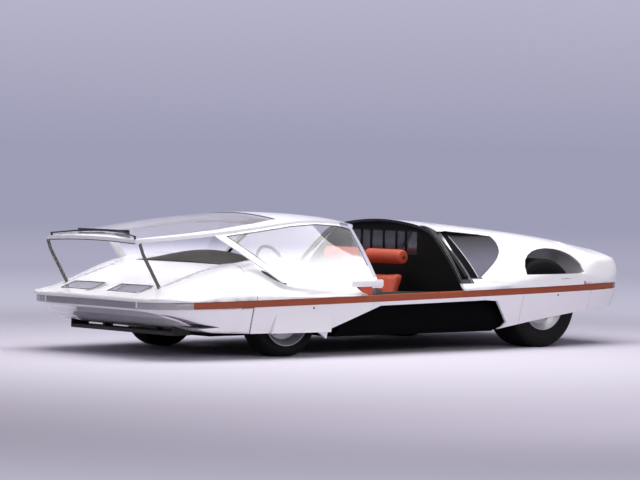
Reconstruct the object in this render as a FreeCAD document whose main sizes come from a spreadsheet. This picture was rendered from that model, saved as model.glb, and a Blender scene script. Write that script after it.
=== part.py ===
import FreeCAD, Part
import Sketcher
import math
import os
import re
from FreeCAD import Placement, Rotation, Vector

# Wedge supercar in millimetres: +X forward, +Y left, +Z up.
# The origin is on the ground, on the centreline, at mid-length.
doc = FreeCAD.newDocument("supercar")
sheet = doc.addObject("Spreadsheet::Sheet", "Sizes")

# The body: two shells that meet at a recessed belt, with panels split at shut lines.
BODY = {
    "body_length": 4480, "body_width": 2040, "body_height": 935,
    "belt_nose_height": 351, "belt_rise": 80, "belt_depth": 48,
    "belt_recess": 9, "belt_thickness": 32,
    "shell_wall": 16, "shell_side_wall": 14, "shut_gap": 3, "overrun": 80, "running_gap": 0.3,
    "hood_rear": 1470, "hood_half_width": 500, "fender_end": 440, "roof_front": -450,
    "side_lean": 115, "side_wall": 20, "underside": 135,
    "front_shut": 1500, "door_shut": 470, "rear_shut": -1000, "tail_shut": -1755,
    "tail_grille_depth": 30, "lens_rear": 1975, "tail_lamp_front": -2090}
# The scalloped lower edge of the side, and the black pod that shows inside it.
SIDE = {
    "skirt_bottom": 178, "skirt_tip_x": 840, "skirt_tip_height": 128, "scallop_foot_height": 190,
    "scallop_front_x": 400, "scallop_rear_x": -610, "scallop_top": 364, "scallop_tail_x": -868,
    "scallop_tail_height": 205, "rear_skirt_front_x": -790, "rear_skirt_front_height": 154,
    "rear_skirt_bottom": 226, "tail_bottom": 300, "nose_bottom": 345, "prow_length": 440,
    "prow_height": 190, "pod_inset": 115, "pod_front": 745,
    "pod_rear": -850, "pod_top": 392, "pod_round": 45, "blister_inset": 30,
    "blister_front": 1345, "blister_rear": 838, "blister_top": 322, "blister_slope": 40}
WHEELS = {
    "wheelbase": 2405, "front_axle": 1090,
    "front_tyre_radius": 278, "front_tyre_width": 205, "front_face_share": 0.7696,
    "rear_tyre_radius": 332, "rear_tyre_width": 300, "rear_face_share": 0.8775,
    "rim_radius": 203, "rim_wall": 10, "rim_seat": 186, "tyre_tuck": 12, "tread_round": 26,
    "rim_dish": 48, "disc_thickness": 14, "hub_radius": 48, "spindle_radius": 21,
    "disc_hole_radius": 27, "disc_hole_circle": 118, "well_gap": 40, "front_well_half": 365,
    "front_well_inset": 520, "rear_well_inset": 445, "well_roof": 620, "knuckle_length": 95,
    "knuckle_width": 70, "knuckle_height": 190, "arm_thickness": 22, "arm_tip_reach": 15,
    "shaft_radius": 15, "arm_spread": 150}
CANOPY = {
    "canopy_front": 2235, "canopy_length": 1955, "canopy_crown": 1003,
    "canopy_inset": 345, "frame_depth": 24, "glass_thickness": 6, "glass_drop": 4,
    "side_depth": 22, "foot_height": 528, "foot_front_inset": 110,
    "foot_rear_inset": 58, "pillar_width": 62, "pillar_top_x": 1655, "pillar_foot_x": 1235,
    "sill_depth": 25, "rear_frame_width": 34, "rear_frame_top_x": 300, "rear_frame_foot_x": 405,
    "roof_band": 30, "header_width": 34, "screen_rear_x": 970, "screen_rear_half": 500,
    "runner_x": 395, "runner_inset": 75, "runner_length": 64, "runner_width": 30,
    "runner_height": 15, "runner_base": 455, "tilt_height": 502, "tilt_pin_radius": 6,
    "tilt_pin_length": 34, "foot_block_length": 70, "foot_block_height": 46,
    "foot_block_width": 30, "lug_thickness": 10, "slide_travel": 730, "slide_drop": 20}
STRUTS = {
    "strut_foot_x": 2043, "strut_foot_depth": 0.2, "strut_reach": 545, "strut_top_x": 2214,
    "strut_top_height": 798, "strut_bend_share": 0.78, "strut_bend_set": 12, "strut_width": 24,
    "strut_thickness": 6, "strut_groove": 18, "groove_depth": 60, "strut_pin_radius": 5}
FITTINGS = {
    "lamp_front_x": 2160, "lamp_rear_x": 2030, "lamp_inner": 95, "lamp_outer": 460,
    "lamp_depth": 62, "lamp_glass": 7, "lamp_radius": 25, "lamp_length": 62,
    "lamp_spacing": 190, "lamp_wall": 3, "liner_wall": 3,
    "blade_front": 1962, "blade_chord": 150, "blade_bottom": 162, "blade_thickness": 24,
    "blade_half_width": 590, "blade_end_height": 105, "blade_end_thickness": 12,
    "blade_stay_width": 26, "duct_front": 2150, "duct_rear": 1750, "duct_height": 44,
    "vent_radius": 44, "vent_front": -700, "vent_pitch": 165, "vent_row": 190,
    "bay_rear": -1990, "bay_inset": 520, "pillar_hollow": 110,
    "scoop_front": -590, "scoop_rear": -1050, "scoop_depth": 70, "channel_front": -480,
    "channel_depth": 190, "window_half_length": 315, "window_bottom": 552, "window_top": 742,
    "tail_pipe_radius": 32, "tail_pipe_wall": 3, "tail_pipe_length": 260,
    "tail_pipe_spacing": 85, "tail_pipe_offset": 260, "tail_pipe_height": 360}
CABIN = {
    "tub_floor": 24, "tub_inset": 285, "tub_wall": 26, "foot_box_top": 405,
    "sill_top": 418, "sill_top_thickness": 12, "foot_box_inset": 590, "foot_box_rear": 740,
    "dash_rear": 1010, "dash_height": 735, "dash_depth": 180, "bulkhead_thickness": 30,
    "rear_window_half": 385, "rear_window_bottom": 685, "rear_window_height": 180,
    "seat_reach": 236, "seat_width": 420, "seat_front": 400, "seat_hip": -112,
    "seat_cushion": 120, "seat_back_top": 562, "seat_back_rake": 145,
    "seat_back_depth": 110, "headrest_radius": 64, "headrest_x": -305, "headrest_height": 672,
    "headrest_length": 418, "wheel_x": 800, "wheel_height": 605,
    "wheel_radius": 158, "wheel_grip": 12, "column_rake": 17, "column_radius": 20,
    "headrest_post": 9}
POWER = {
    "engine_front": -620, "engine_length": 540, "engine_width": 520,
    "engine_height": 440, "gearbox_length": 620, "gearbox_width": 300, "gearbox_height": 260, "gearbox_lift": 40,
    "wiper_radius": 5, "wiper_post_height": 24, "wiper_blade_length": 300,
    "wiper_blade_width": 9, "wiper_blade_height": 16, "wiper_blade_x": 2120,
    "wiper_blade_middle": 150}
GROUPS = [BODY, SIDE, WHEELS, CANOPY, STRUTS, FITTINGS, CABIN, POWER]
# Reaches that follow the body's side: half the body's width less an inset.
REACHES = {
    "pod_half_width": "pod_inset", "front_well_inner": "front_well_inset",
    "rear_well_inner": "rear_well_inset", "canopy_half_width": "canopy_inset",
    "foot_front_reach": "foot_front_inset", "foot_rear_reach": "foot_rear_inset",
    "runner_reach": "runner_inset", "bay_side": "bay_inset", "tub_half_width": "tub_inset",
    "foot_box_half": "foot_box_inset"}
WORDS = {}


def add_size(word, amount):
    """Write one named size into the sheet's next row."""
    WORDS[word] = amount
    row = len(WORDS)
    sheet.set("A%d" % row, word.replace("_", " "))
    sheet.set("B%d" % row, str(amount))
    sheet.setAlias("B%d" % row, word)
    doc.recompute()


for group in GROUPS:
    for word in group:
        add_size(word, group[word])


def size(word):
    if word in REACHES:
        return size("body_width") / 2 - size(REACHES[word])
    return float(sheet.get(word))


def linked(hit):
    """A named size as an expression reads it."""
    word = hit.group(0)
    if word in REACHES:
        return "(Sizes.body_width / 2 - Sizes.%s)" % REACHES[word]
    return "Sizes." + word if word in WORDS else word


def link(text):
    return re.sub("[a-z_]+", linked, text)


def tie(thing, prop, text):
    thing.setExpression(prop, link(text))


def block(label, low, high):
    """A box between two corners that are written in named sizes."""
    box = doc.addObject("Part::Box", label)
    for side, prop in enumerate(["Length", "Width", "Height"]):
        tie(box, prop, "(%s) - (%s)" % (high[side], low[side]))
    for side, letter in enumerate("xyz"):
        tie(box, "Placement.Base." + letter, low[side])
    return box


def rod(label, start, axis, radius, length):
    """A cylinder from a start point along an axis."""
    bar = doc.addObject("Part::Cylinder", label)
    tie(bar, "Radius", radius)
    tie(bar, "Height", length)
    bar.Placement = Placement(Vector(), Rotation(Vector(0, 0, 1), Vector(*axis)))
    for side, letter in enumerate("xyz"):
        tie(bar, "Placement.Base." + letter, start[side])
    return bar


def common(label, first, second):
    both = doc.addObject("Part::Common", label)
    both.Base = first
    both.Tool = second
    return both


def cut(label, first, second):
    rest = doc.addObject("Part::Cut", label)
    rest.Base = first
    rest.Tool = second
    return rest


def fuse(label, pieces):
    whole = doc.addObject("Part::MultiFuse", label)
    whole.Shapes = pieces
    return whole


def group_of(label, pieces):
    whole = doc.addObject("Part::Compound", label)
    whole.Links = pieces
    return whole


def mirrored(label, piece):
    twin = doc.addObject("Part::Mirroring", label)
    twin.Source = piece
    twin.Normal = Vector(0, 1, 0)
    return twin


def pair(label, piece):
    return group_of(label, [piece, mirrored(label + "_right", piece)])


def both_sides(label, piece):
    return fuse(label, [piece, mirrored(label + "_other", piece)])


def flat(label, points, curved=False):
    """A flat face inside a closed outline; a curved one is a spline closed by a straight."""
    spots = [Vector(*point) for point in points]
    if curved:
        curve = Part.BSplineCurve()
        curve.interpolate(spots)
        edges = [curve.toShape(), Part.makeLine(spots[-1], spots[0])]
        wire = Part.Wire(edges)
    else:
        wire = Part.makePolygon(spots + spots[:1])
    face = doc.addObject("Part::Feature", label)
    face.Shape = Part.Face(wire)
    return face


def prism(label, base, direction, length, back="0"):
    """A face or skin pushed straight along a direction."""
    solid = doc.addObject("Part::Extrusion", label)
    solid.Base = base
    solid.DirMode = "Custom"
    solid.Dir = Vector(*direction)
    tie(solid, "LengthFwd", length)
    tie(solid, "LengthRev", back)
    solid.Solid = base.Shape.Faces[0].Surface.TypeId == "Part::GeomPlane"
    return solid


def skin_shape(rows):
    """A smooth face over a net of control points, clamped to the net's own edges."""
    degree = 3
    knots = []
    counts = []
    for number in (len(rows), len(rows[0])):
        inner = number - degree
        knots.append([step / inner for step in range(inner + 1)])
        counts.append([degree + 1] + [1] * (inner - 1) + [degree + 1])
    surface = Part.BSplineSurface()
    surface.buildFromPolesMultsKnots(rows, counts[0], counts[1], knots[0], knots[1],
                                     False, False, degree, degree)
    return surface.toShape()


def skin(label, rows):
    """A smooth face through a net of points."""
    face = doc.addObject("Part::Feature", label)
    face.Shape = skin_shape(rows)
    return face


def shifted(label, source, move, turn=0.0, about=(0, 0, 0)):
    """A copy of a skin, moved and turned about an upright line."""
    face = doc.addObject("Part::Feature", label)
    shape = source.Shape.copy()
    shape.rotate(Vector(*about), Vector(0, 0, 1), turn)
    shape.translate(Vector(*move))
    face.Shape = shape
    return face


half_length = size("body_length") / 2
half_width = size("body_width") / 2
tall = size("body_height")
overrun = size("overrun")


def belt_bottom(x):
    return size("belt_nose_height") + size("belt_rise") * (half_length - x) / size("body_length")


def belt_top(x):
    return belt_bottom(x) + size("belt_depth")


# Plan outline of the left half, from the nose to the tail, as shares of half length and width.
OUTLINE_SHARES = [
    (1.0, 0.50), (0.985, 0.575), (0.945, 0.70), (0.885, 0.825), (0.80, 0.883), (0.62, 0.935),
    (0.40, 0.972), (0.10, 0.996), (-0.22, 1.0), (-0.54, 0.982), (-0.80, 0.93), (-0.92, 0.862),
    (-0.975, 0.78), (-1.0, 0.66)]


def plan(label, inset, height):
    """The body's plan outline at one height, drawn in by an inset."""
    left = [Vector(x * (half_length - inset), y * (half_width - inset), height)
            for x, y in OUTLINE_SHARES]
    right = [Vector(spot.x, -spot.y, spot.z) for spot in reversed(left)]
    edges = []
    for side in (left, right):
        curve = Part.BSplineCurve()
        curve.interpolate(side)
        edges.append(curve.toShape())
    edges.insert(1, Part.makeLine(left[-1], right[0]))
    edges.append(Part.makeLine(right[-1], left[0]))
    wire = doc.addObject("Part::Feature", label)
    wire.Shape = Part.Wire(edges)
    return wire


def plan_prism(label, inset, low, high):
    wire = plan(label + "_wire", inset, low)
    face = doc.addObject("Part::Feature", label + "_face")
    face.Shape = Part.Face(wire.Shape)
    return prism(label, face, (0, 0, 1), str(high - low))


def slab_between(label, low_line, high_line):
    """Everything across the car between two height lines that run nose to tail."""
    near = half_length + overrun
    points = [(near, -half_width - overrun, low_line(near)),
              (-near, -half_width - overrun, low_line(-near)),
              (-near, -half_width - overrun, high_line(-near)),
              (near, -half_width - overrun, high_line(near))]
    face = flat(label + "_face", points)
    return prism(label, face, (0, 1, 0), "body_width + 2 * overrun")


def ceiling(x):
    return 2 * tall


def cellar(x):
    return -tall


# Places across the body, as shares of half width, where a deck's height is given.
ACROSS_SHARES = [0.0, 0.30, 0.50, 0.59, 0.665, 0.735, 0.80, 0.86, 0.915, 0.965, 1.03]
# Nose deck and front fenders: place along half length, then heights as shares of body height.
# The fender's hump rises at about 0.67 of half width and a gutter lies outside it.
NOSE_SHARES = [
    (1.030, (.425, .425, .424, .418, .408, .392, .374, .355, .340, .330, .320)),
    (0.960, (.497, .497, .494, .481, .457, .426, .397, .370, .345, .330, .320)),
    (0.884, (.557, .557, .554, .545, .527, .497, .461, .420, .385, .355, .330)),
    (0.804, (.612, .612, .610, .606, .595, .574, .537, .484, .425, .375, .335)),
    (0.714, (.669, .669, .669, .671, .672, .657, .618, .550, .462, .405, .355)),
    (0.625, (.706, .706, .700, .714, .730, .702, .642, .562, .490, .440, .400)),
    (0.558, (.706, .706, .695, .719, .748, .700, .622, .552, .490, .455, .430)),
    (0.482, (.706, .706, .692, .726, .765, .685, .604, .533, .484, .464, .450)),
    (0.402, (.706, .706, .684, .710, .728, .653, .578, .507, .470, .462, .455)),
    (0.335, (.706, .706, .674, .684, .680, .612, .540, .484, .464, .460, .458)),
    (0.268, (.684, .684, .652, .655, .632, .572, .500, .466, .461, .460, .458)),
    (0.180, (.642, .642, .620, .612, .580, .520, .472, .461, .460, .459, .458))]
# Roof and tail deck, from the roof's front edge to the tail.
TAIL_SHARES = [
    (-0.160, (1.024, 1.000, .958, .914, .844, .780, .718, .656, .594, .536, .460)),
    (-0.312, (1.003, .981, .946, .917, .858, .795, .733, .668, .606, .542, .470)),
    (-0.446, (.972, .955, .928, .904, .870, .822, .775, .725, .668, .585, .475)),
    (-0.580, (.939, .926, .905, .888, .869, .846, .820, .790, .745, .650, .460)),
    (-0.692, (.907, .896, .877, .862, .848, .828, .803, .770, .712, .605, .430)),
    (-0.804, (.869, .859, .840, .822, .805, .779, .744, .684, .572, .455, .380)),
    (-0.910, (.826, .815, .790, .765, .737, .700, .650, .570, .475, .400, .350)),
    (-0.970, (.790, .778, .745, .712, .672, .622, .560, .490, .430, .380, .340)),
    (-1.030, (.640, .630, .600, .570, .535, .495, .455, .420, .390, .360, .330))]


def deck_rows(table):
    rows = []
    for along, heights in table:
        left = [(share * half_width, height * tall)
                for share, height in zip(ACROSS_SHARES, heights)]
        line = [(-y, z) for y, z in reversed(left[1:])] + left
        rows.append([Vector(along * half_length, y, z) for y, z in line])
    return rows


above_belt = slab_between("above_belt", belt_top, ceiling)
below_belt = slab_between("below_belt", cellar, belt_bottom)
belt_zone = slab_between("belt_zone", belt_bottom, belt_top)
body_plan = plan_prism("body_plan", 0.0, 0.0, 2 * tall)
wall = size("shell_wall")
side_wall = size("shell_side_wall")


def under(label, face):
    """The space beneath a skin, down past the ground."""
    return prism(label, face, (0, 0, -1), "2 * body_height")


def under_inner(label, source):
    """The space beneath a deck's inner face, one wall inside its outer face."""
    left = under(label + "_left", shifted(label + "_l", source, (0, -side_wall, -wall)))
    right = under(label + "_right", shifted(label + "_r", source, (0, side_wall, -wall)))
    return common(label, left, right)


def height_on(skin_object, x, y):
    """Height of a skin above one place on the ground."""
    plumb = Part.makeLine(Vector(x, y, 0), Vector(x, y, 2 * tall))
    return skin_object.Shape.distToShape(plumb)[1][0][0].z


# Nose shell: hood, lamp pockets and both front fenders.
nose_skin = skin("nose_skin", deck_rows(NOSE_SHARES))
nose_solid = common("nose_over_belt", common("nose_under_skin", under("nose_column", nose_skin),
                                             body_plan), above_belt)
nose_inner = under_inner("nose_inner", nose_skin)
nose_length_box = block("nose_length_box", ("fender_end", "-body_width", "0"),
                        ("body_length", "body_width", "body_height"))
nose_body = common("nose_body", nose_solid, nose_length_box)
cabin_gap = block("cabin_gap", ("0", "-hood_half_width", "0"),
                  ("hood_rear", "hood_half_width", "2 * body_height"))


def lamp_face(label, gap):
    """Plan of one lamp window, rear edge narrower than the front."""
    front = size("lamp_front_x") - gap
    rear = size("lamp_rear_x") + gap
    inner = size("lamp_inner") + gap
    outer = size("lamp_outer") - gap
    return flat(label, [(front, inner, 0), (front, outer, 0), (rear, outer, 0), (rear, inner, 0)])


lamp_pocket = prism("lamp_pocket", lamp_face("lamp_pocket_face", 0.0), (0, 0, 1),
                    "2 * body_height")
lamp_floor = under("lamp_floor", shifted("lamp_floor_skin", nose_skin,
                                         (0, 0, -size("lamp_depth"))))
lamp_pockets = both_sides("lamp_pockets", cut("lamp_pocket_open", lamp_pocket, lamp_floor))
add_size("strut_foot_height", height_on(nose_skin, size("strut_foot_x"), size("strut_reach"))
         - size("strut_foot_depth"))
strut_slot = block("strut_slot", ("strut_foot_x - strut_reach * 0.72",
                                  "strut_reach - strut_groove / 2",
                                  "strut_foot_height - groove_depth / 2"),
                   ("strut_foot_x + strut_width", "strut_reach + strut_groove / 2",
                    "body_height"))
strut_slots = both_sides("strut_slots", strut_slot)
front_well_box = block("front_well_box", ("front_axle - front_well_half", "front_well_inner",
                                          "-overrun"),
                       ("front_axle + front_well_half", "body_width / 2 - shell_side_wall",
                        "well_roof"))
front_wells = both_sides("front_wells", common("front_well", front_well_box, nose_inner))
nose_tools = fuse("nose_tools", [cabin_gap, lamp_pockets, strut_slots, front_wells])
nose_cut = cut("nose_cut", nose_body, nose_tools)
strut_pin = rod("strut_pin", ("strut_foot_x", "strut_reach - strut_groove",
                              "strut_foot_height"), (0, 1, 0), "strut_pin_radius",
                "strut_groove * 2")
nose_shell = fuse("nose_shell", [nose_cut, strut_pin, mirrored("strut_pin_other", strut_pin)])

# Rear shell: roof band, pillars, engine deck, rear fenders with their half-round windows.
tail_skin = skin("tail_skin", deck_rows(TAIL_SHARES))
tail_solid = common("tail_over_belt", common("tail_under_skin", under("tail_column", tail_skin),
                                             body_plan), above_belt)
pillar_face = flat("pillar_face", [
    (size("roof_front"), 0, tall * 1.1), (size("roof_front"), 0, tall * 0.94),
    (size("roof_front") + tall * 0.09, 0, size("belt_nose_height")),
    (size("roof_front") + tall * 0.09, 0, 0), (-2 * half_length, 0, 0),
    (-2 * half_length, 0, tall * 1.1)])
pillar_side = prism("pillar_side", pillar_face, (0, 1, 0), "body_width", "body_width")
tail_inner = under_inner("tail_inner", tail_skin)
bay_box = fuse("bay_box", [
    block("bay_long", ("bay_rear", "-bay_side", "-overrun"),
          ("-roof_front", "bay_side", "body_height * 1.1")),
    block("bay_wide", ("roof_front - pillar_hollow", "-body_width / 2", "-overrun"),
          ("-roof_front", "body_width / 2", "body_height * 1.1"))])
rear_axle = "(front_axle - wheelbase)"
rear_well_box = block("rear_well_box", (rear_axle + " - rear_tyre_radius - well_gap",
                                        "rear_well_inner", "-overrun"),
                      (rear_axle + " + rear_tyre_radius + well_gap",
                       "body_width / 2 - shell_side_wall", "body_height"))
bay = common("engine_bay", bay_box, tail_inner)
rear_wells = both_sides("rear_wells", common("rear_well", rear_well_box, tail_inner))


def arch_points():
    """Half-round window over a rear wheel, seen from the side."""
    middle = size("front_axle") - size("wheelbase") - size("well_gap") * 1.1
    reach = size("window_half_length")
    low = size("window_bottom")
    rise = size("window_top") - low
    spots = []
    for step in range(13):
        turn = math.pi * step / 12
        spots.append((middle + reach * math.cos(turn), 0,
                      low + rise * math.sin(turn) ** 0.85))
    return spots


window_face = flat("wheel_window_face", arch_points())
window_hole = prism("wheel_window", window_face, (0, 1, 0), "body_width", "body_width")
side_band = both_sides("side_band", block("side_band_left", ("-body_length", "rear_well_inner", "0"),
                                          ("body_length", "body_width", "body_height")))
window_cut = common("window_cut", window_hole, side_band)
scoop_face = flat("scoop_face", [
    (size("scoop_front"), 0, tall * 0.925), (size("scoop_rear") + tall * 0.05, 0, tall * 0.885),
    (size("scoop_rear"), 0, tall * 0.80), (size("scoop_rear") + tall * 0.05, 0, tall * 0.66),
    (size("scoop_rear") + tall * 0.17, 0, tall * 0.565),
    (size("scoop_front") + tall * 0.08, 0, tall * 0.56)])
scoop_side = prism("scoop_side", scoop_face, (0, 1, 0), "body_width", "0")
scoop_floor = under("scoop_floor", shifted(
    "scoop_floor_skin", tail_skin, (0, 0, 0),
    -math.degrees(math.atan2(size("scoop_depth"), size("scoop_front") - size("scoop_rear"))),
    (size("scoop_rear"), half_width * 0.75, 0)))
scoop_half = block("scoop_half", ("-body_length", "hood_half_width", "0"),
                   ("body_length", "body_width", "body_height * 2"))
scoops = both_sides("scoops", common("scoop_open", cut("scoop_cut", scoop_side, scoop_floor),
                                     scoop_half))
liner_top = under("liner_top", shifted(
    "liner_skin", tail_skin, (0, size("liner_wall"), 0),
    -math.degrees(math.atan2(size("scoop_depth"), size("scoop_front") - size("scoop_rear"))),
    (size("scoop_rear"), half_width * 0.75, 0)))
scoop_liners = pair("scoop_liners", common("scoop_liner", common(
    "liner_trim", scoop_side, scoop_half), common("liner_sheet", cut(
        "liner_slab", liner_top, scoop_floor), under("liner_limit", tail_skin))))
channel_face = flat("channel_face", [
    (size("channel_front"), 0, tall * 0.925), (size("scoop_front"), 0, tall * 0.925),
    (size("scoop_front") + tall * 0.08, 0, tall * 0.56),
    (size("channel_front") + tall * 0.08, 0, tall * 0.56)])
channel_side = prism("channel_side", channel_face, (0, 1, 0), "body_width", "0")
channel_floor = under("channel_floor", shifted("channel_floor_skin", tail_skin,
                                               (0, -size("channel_depth") / 2,
                                                -size("channel_depth"))))
channels = both_sides("channels", cut("channel_open", channel_side, channel_floor))
vents = []
for line in range(6):
    for row in (-1.5, -0.5, 0.5, 1.5):
        vents.append(rod("vent_%d_%d" % (line, round(2 * row + 3)),
                         ("vent_front - vent_pitch * %d" % line, "vent_row * %s" % row,
                          "body_height / 2"), (0, 0, 1), "vent_radius", "body_height"))
vent_holes = group_of("vent_holes", vents)
rear_body = common("rear_body", tail_solid, pillar_side)
rear_tools = fuse("rear_tools", [bay, rear_wells, window_cut])
rear_hollow = cut("rear_hollow", rear_body, rear_tools)
rear_scooped = cut("rear_scooped", rear_hollow, fuse("side_intakes", [scoops, channels]))
rear_shell = cut("rear_shell", rear_scooped, vent_holes)

# Lower body: leans in below the belt, with a prow, a scalloped side and a rising tail.
lower_loft = doc.addObject("Part::Loft", "lower_loft")
lower_loft.Sections = [plan("lower_plan", size("side_lean"), 0.0),
                       plan("upper_plan", 0.0, belt_bottom(-half_length))]
lower_loft.Solid = True
lower_loft.Ruled = True
inner_loft = doc.addObject("Part::Loft", "inner_loft")
inner_loft.Sections = [plan("lower_plan_inner", size("side_lean") + size("side_wall"), 0.0),
                       plan("upper_plan_inner", size("side_wall"), belt_bottom(-half_length))]
inner_loft.Solid = True
inner_loft.Ruled = True
skirt = size("skirt_bottom")
side_points = [
    (half_length + overrun, 0, size("nose_bottom")), (half_length, 0, size("nose_bottom")),
    (half_length - size("prow_length") * 0.36, 0, size("nose_bottom") * 0.735),
    (half_length - size("prow_length"), 0, size("prow_height")),
    (size("front_shut"), 0, skirt), (size("skirt_tip_x") + overrun, 0, skirt),
    (size("skirt_tip_x"), 0, size("skirt_tip_height")),
    (size("skirt_tip_x"), 0, size("scallop_foot_height")),
    (size("scallop_front_x"), 0, size("scallop_top") - size("belt_recess")),
    (size("scallop_rear_x"), 0, size("scallop_top") + size("belt_recess")),
    (size("scallop_tail_x") + overrun * 1.7, 0, size("scallop_top")),
    (size("scallop_tail_x"), 0, size("scallop_tail_height")),
    (size("rear_skirt_front_x") - overrun / 2, 0, size("rear_skirt_front_height") * 1.1),
    (size("rear_skirt_front_x"), 0, size("rear_skirt_front_height")),
    (size("rear_shut") - overrun, 0, size("rear_skirt_front_height") * 1.27),
    (size("front_axle") - size("wheelbase"), 0, size("rear_skirt_bottom")),
    (size("tail_shut"), 0, size("rear_skirt_bottom") * 1.22),
    (-half_length - overrun, 0, size("tail_bottom")),
    (-half_length - overrun, 0, tall), (half_length + overrun, 0, tall)]
side_profile = prism("side_profile", flat("side_profile_face", side_points), (0, 1, 0),
                     "body_width", "body_width")
lower_solid = common("lower_solid", common("lower_under_belt", lower_loft, below_belt),
                     side_profile)
lower_skin = cut("lower_skin", lower_solid, inner_loft)


def stretch(label, source, front, rear):
    """One panel of the lower body between two shut lines."""
    box = block(label + "_box", (rear, "-body_width", "-overrun"),
                (front, "body_width", "body_height"))
    return common(label, source, box)


lower_lump = stretch("lower_lump", lower_solid, "body_length", "front_shut + shut_gap")
duct_face = flat("duct_face", [
    (size("duct_front"), 0, size("nose_bottom") * 0.86),
    (size("duct_rear"), 0, size("prow_height") * 1.13 + size("duct_height") * 0.3),
    (size("duct_rear") + size("prow_length") * 0.4, 0, size("prow_height") * 1.13)])
duct_hole = prism("duct_hole", duct_face, (0, 1, 0), "body_width", "body_width")
duct_sides = both_sides("duct_sides", block("duct_side", (
    "duct_rear - overrun", "blade_half_width", "0"), ("body_length", "body_width", "body_height")))
lower_front = cut("lower_front", lower_lump, common("side_ducts", duct_hole, duct_sides))
blister_plan = cut("blister_plan", plan_prism("blister_outer", size("blister_inset"), 0.0, tall),
                   inner_loft)
blister_edge = flat("blister_edge", [
    (size("blister_front"), 0, skirt), (size("blister_rear"), 0, skirt),
    (size("blister_rear"), 0, size("blister_top")),
    (size("blister_front") - size("blister_slope"), 0, size("blister_top"))])
blister_side = common("blister_side", prism("blister_reach", blister_edge, (0, 1, 0),
                                            "body_width", "body_width"), blister_plan)
front_skirts = fuse("front_skirts", [
    stretch("front_skirt_panels", lower_skin, "front_shut", "door_shut + shut_gap"),
    blister_side])
sills = stretch("sills", lower_skin, "door_shut", "rear_shut + shut_gap")
rear_skirts = stretch("rear_skirts", lower_skin, "rear_shut", "tail_shut + shut_gap")
tail_skirt = stretch("tail_skirt", lower_skin, "tail_shut", "-body_length")

# Belt: a red band between the shells, grey lens round the nose and dark lamps round the tail.
belt_outer = plan_prism("belt_outer", size("belt_recess"), 0.0, tall)
belt_inner = plan_prism("belt_inner", size("belt_recess") + size("belt_thickness"), 0.0, tall)
belt_ring = common("belt_ring", cut("belt_hoop", belt_outer, belt_inner), belt_zone)
front_lens = stretch("front_lens", belt_ring, "body_length", "lens_rear")
belt_band = stretch("belt_band", belt_ring, "lens_rear", "tail_lamp_front")
tail_lamp = stretch("tail_lamp", belt_ring, "tail_lamp_front", "-body_length")

# Lamps: flush glass over two round lamps in each pocket.
lamp_slab = cut("lamp_slab", under("lamp_glass_top", nose_skin),
                under("lamp_glass_under", shifted("lamp_glass_skin", nose_skin,
                                                  (0, 0, -size("lamp_glass")))))
lamp_pane = common("lamp_pane", prism("lamp_pane_prism", lamp_face(
    "lamp_pane_face", size("running_gap")), (0, 0, 1), "2 * body_height"), lamp_slab)
lamp_covers = pair("lamp_covers", lamp_pane)
lamp_middle_x = (size("lamp_front_x") + size("lamp_rear_x")) / 2
lamp_shells = []
for step in (-0.5, 0.5):
    lamp_y = (size("lamp_inner") + size("lamp_outer")) / 2 + step * size("lamp_spacing")
    lamp_z = (height_on(nose_skin, lamp_middle_x + size("lamp_length") / 2, lamp_y)
              - size("lamp_glass") - size("lamp_wall") - size("lamp_radius"))
    start = Vector(lamp_middle_x - size("lamp_length") / 2, lamp_y, lamp_z)
    can = doc.addObject("Part::Cylinder", "lamp_can_%d" % round(step * 2))
    tie(can, "Radius", "lamp_radius")
    tie(can, "Height", "lamp_length")
    can.Placement = Placement(start, Rotation(Vector(0, 0, 1), Vector(1, 0, 0)))
    base = doc.addObject("Part::Box", "lamp_base_%d" % round(step * 2))
    tie(base, "Length", "lamp_length")
    tie(base, "Width", "lamp_radius")
    tie(base, "Height", "lamp_depth")
    base.Placement = Placement(start - Vector(0, size("lamp_radius") / 2, size("lamp_depth")),
                               Rotation())
    bowl = doc.addObject("Part::Sphere", "lamp_bowl_%d" % round(step * 2))
    tie(bowl, "Radius", "lamp_radius - lamp_wall")
    bowl.Placement = Placement(start + Vector(size("lamp_length"), 0, 0), Rotation())
    lamp_shells.append(cut("lamp_shell_%d" % round(step * 2),
                           fuse("lamp_body_%d" % round(step * 2), [can, base]), bowl))
lamp_units = pair("lamp_units", cut("lamp_pair", group_of("lamp_set", lamp_shells), lamp_floor))

# Tub: floor, inner sides and sill tops, with a foot box between the front wheels.
floor_low = "underside"
floor_high = "underside + tub_floor"
cabin_floor = block("cabin_floor", ("roof_front - bulkhead_thickness * 2", "-tub_half_width",
                                    floor_low),
                    ("foot_box_rear", "tub_half_width", floor_high))
bay_floor = block("bay_floor", ("engine_front - engine_length", "-bay_side + tub_wall", floor_low),
                  ("roof_front - bulkhead_thickness * 2", "bay_side - tub_wall", floor_high))
foot_floor = block("foot_floor", ("foot_box_rear", "-foot_box_half", floor_low),
                   ("front_shut + shut_gap", "foot_box_half", floor_high))
tub_side = block("tub_side", ("roof_front", "tub_half_width - tub_wall", floor_low),
                 ("foot_box_rear", "tub_half_width", "sill_top"))
sill_shelf = block("sill_shelf", ("roof_front", "tub_half_width - tub_wall",
                                  "sill_top - sill_top_thickness"),
                   ("fender_end", "body_width / 2 - side_wall - belt_recess - belt_thickness",
                    "sill_top"))
foot_side = block("foot_side", ("foot_box_rear", "foot_box_half - tub_wall", floor_low),
                  ("front_shut + shut_gap", "foot_box_half", "foot_box_top"))
toe_wall = block("toe_wall", ("foot_box_rear - tub_wall", "foot_box_half - tub_wall", floor_low),
                 ("foot_box_rear", "tub_half_width", "foot_box_top"))
nose_wall = block("nose_wall", ("front_shut + shut_gap - tub_wall", "-foot_box_half", floor_low),
                  ("front_shut + shut_gap", "foot_box_half", "foot_box_top"))
tub_parts = [cabin_floor, bay_floor, foot_floor, nose_wall]
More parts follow.
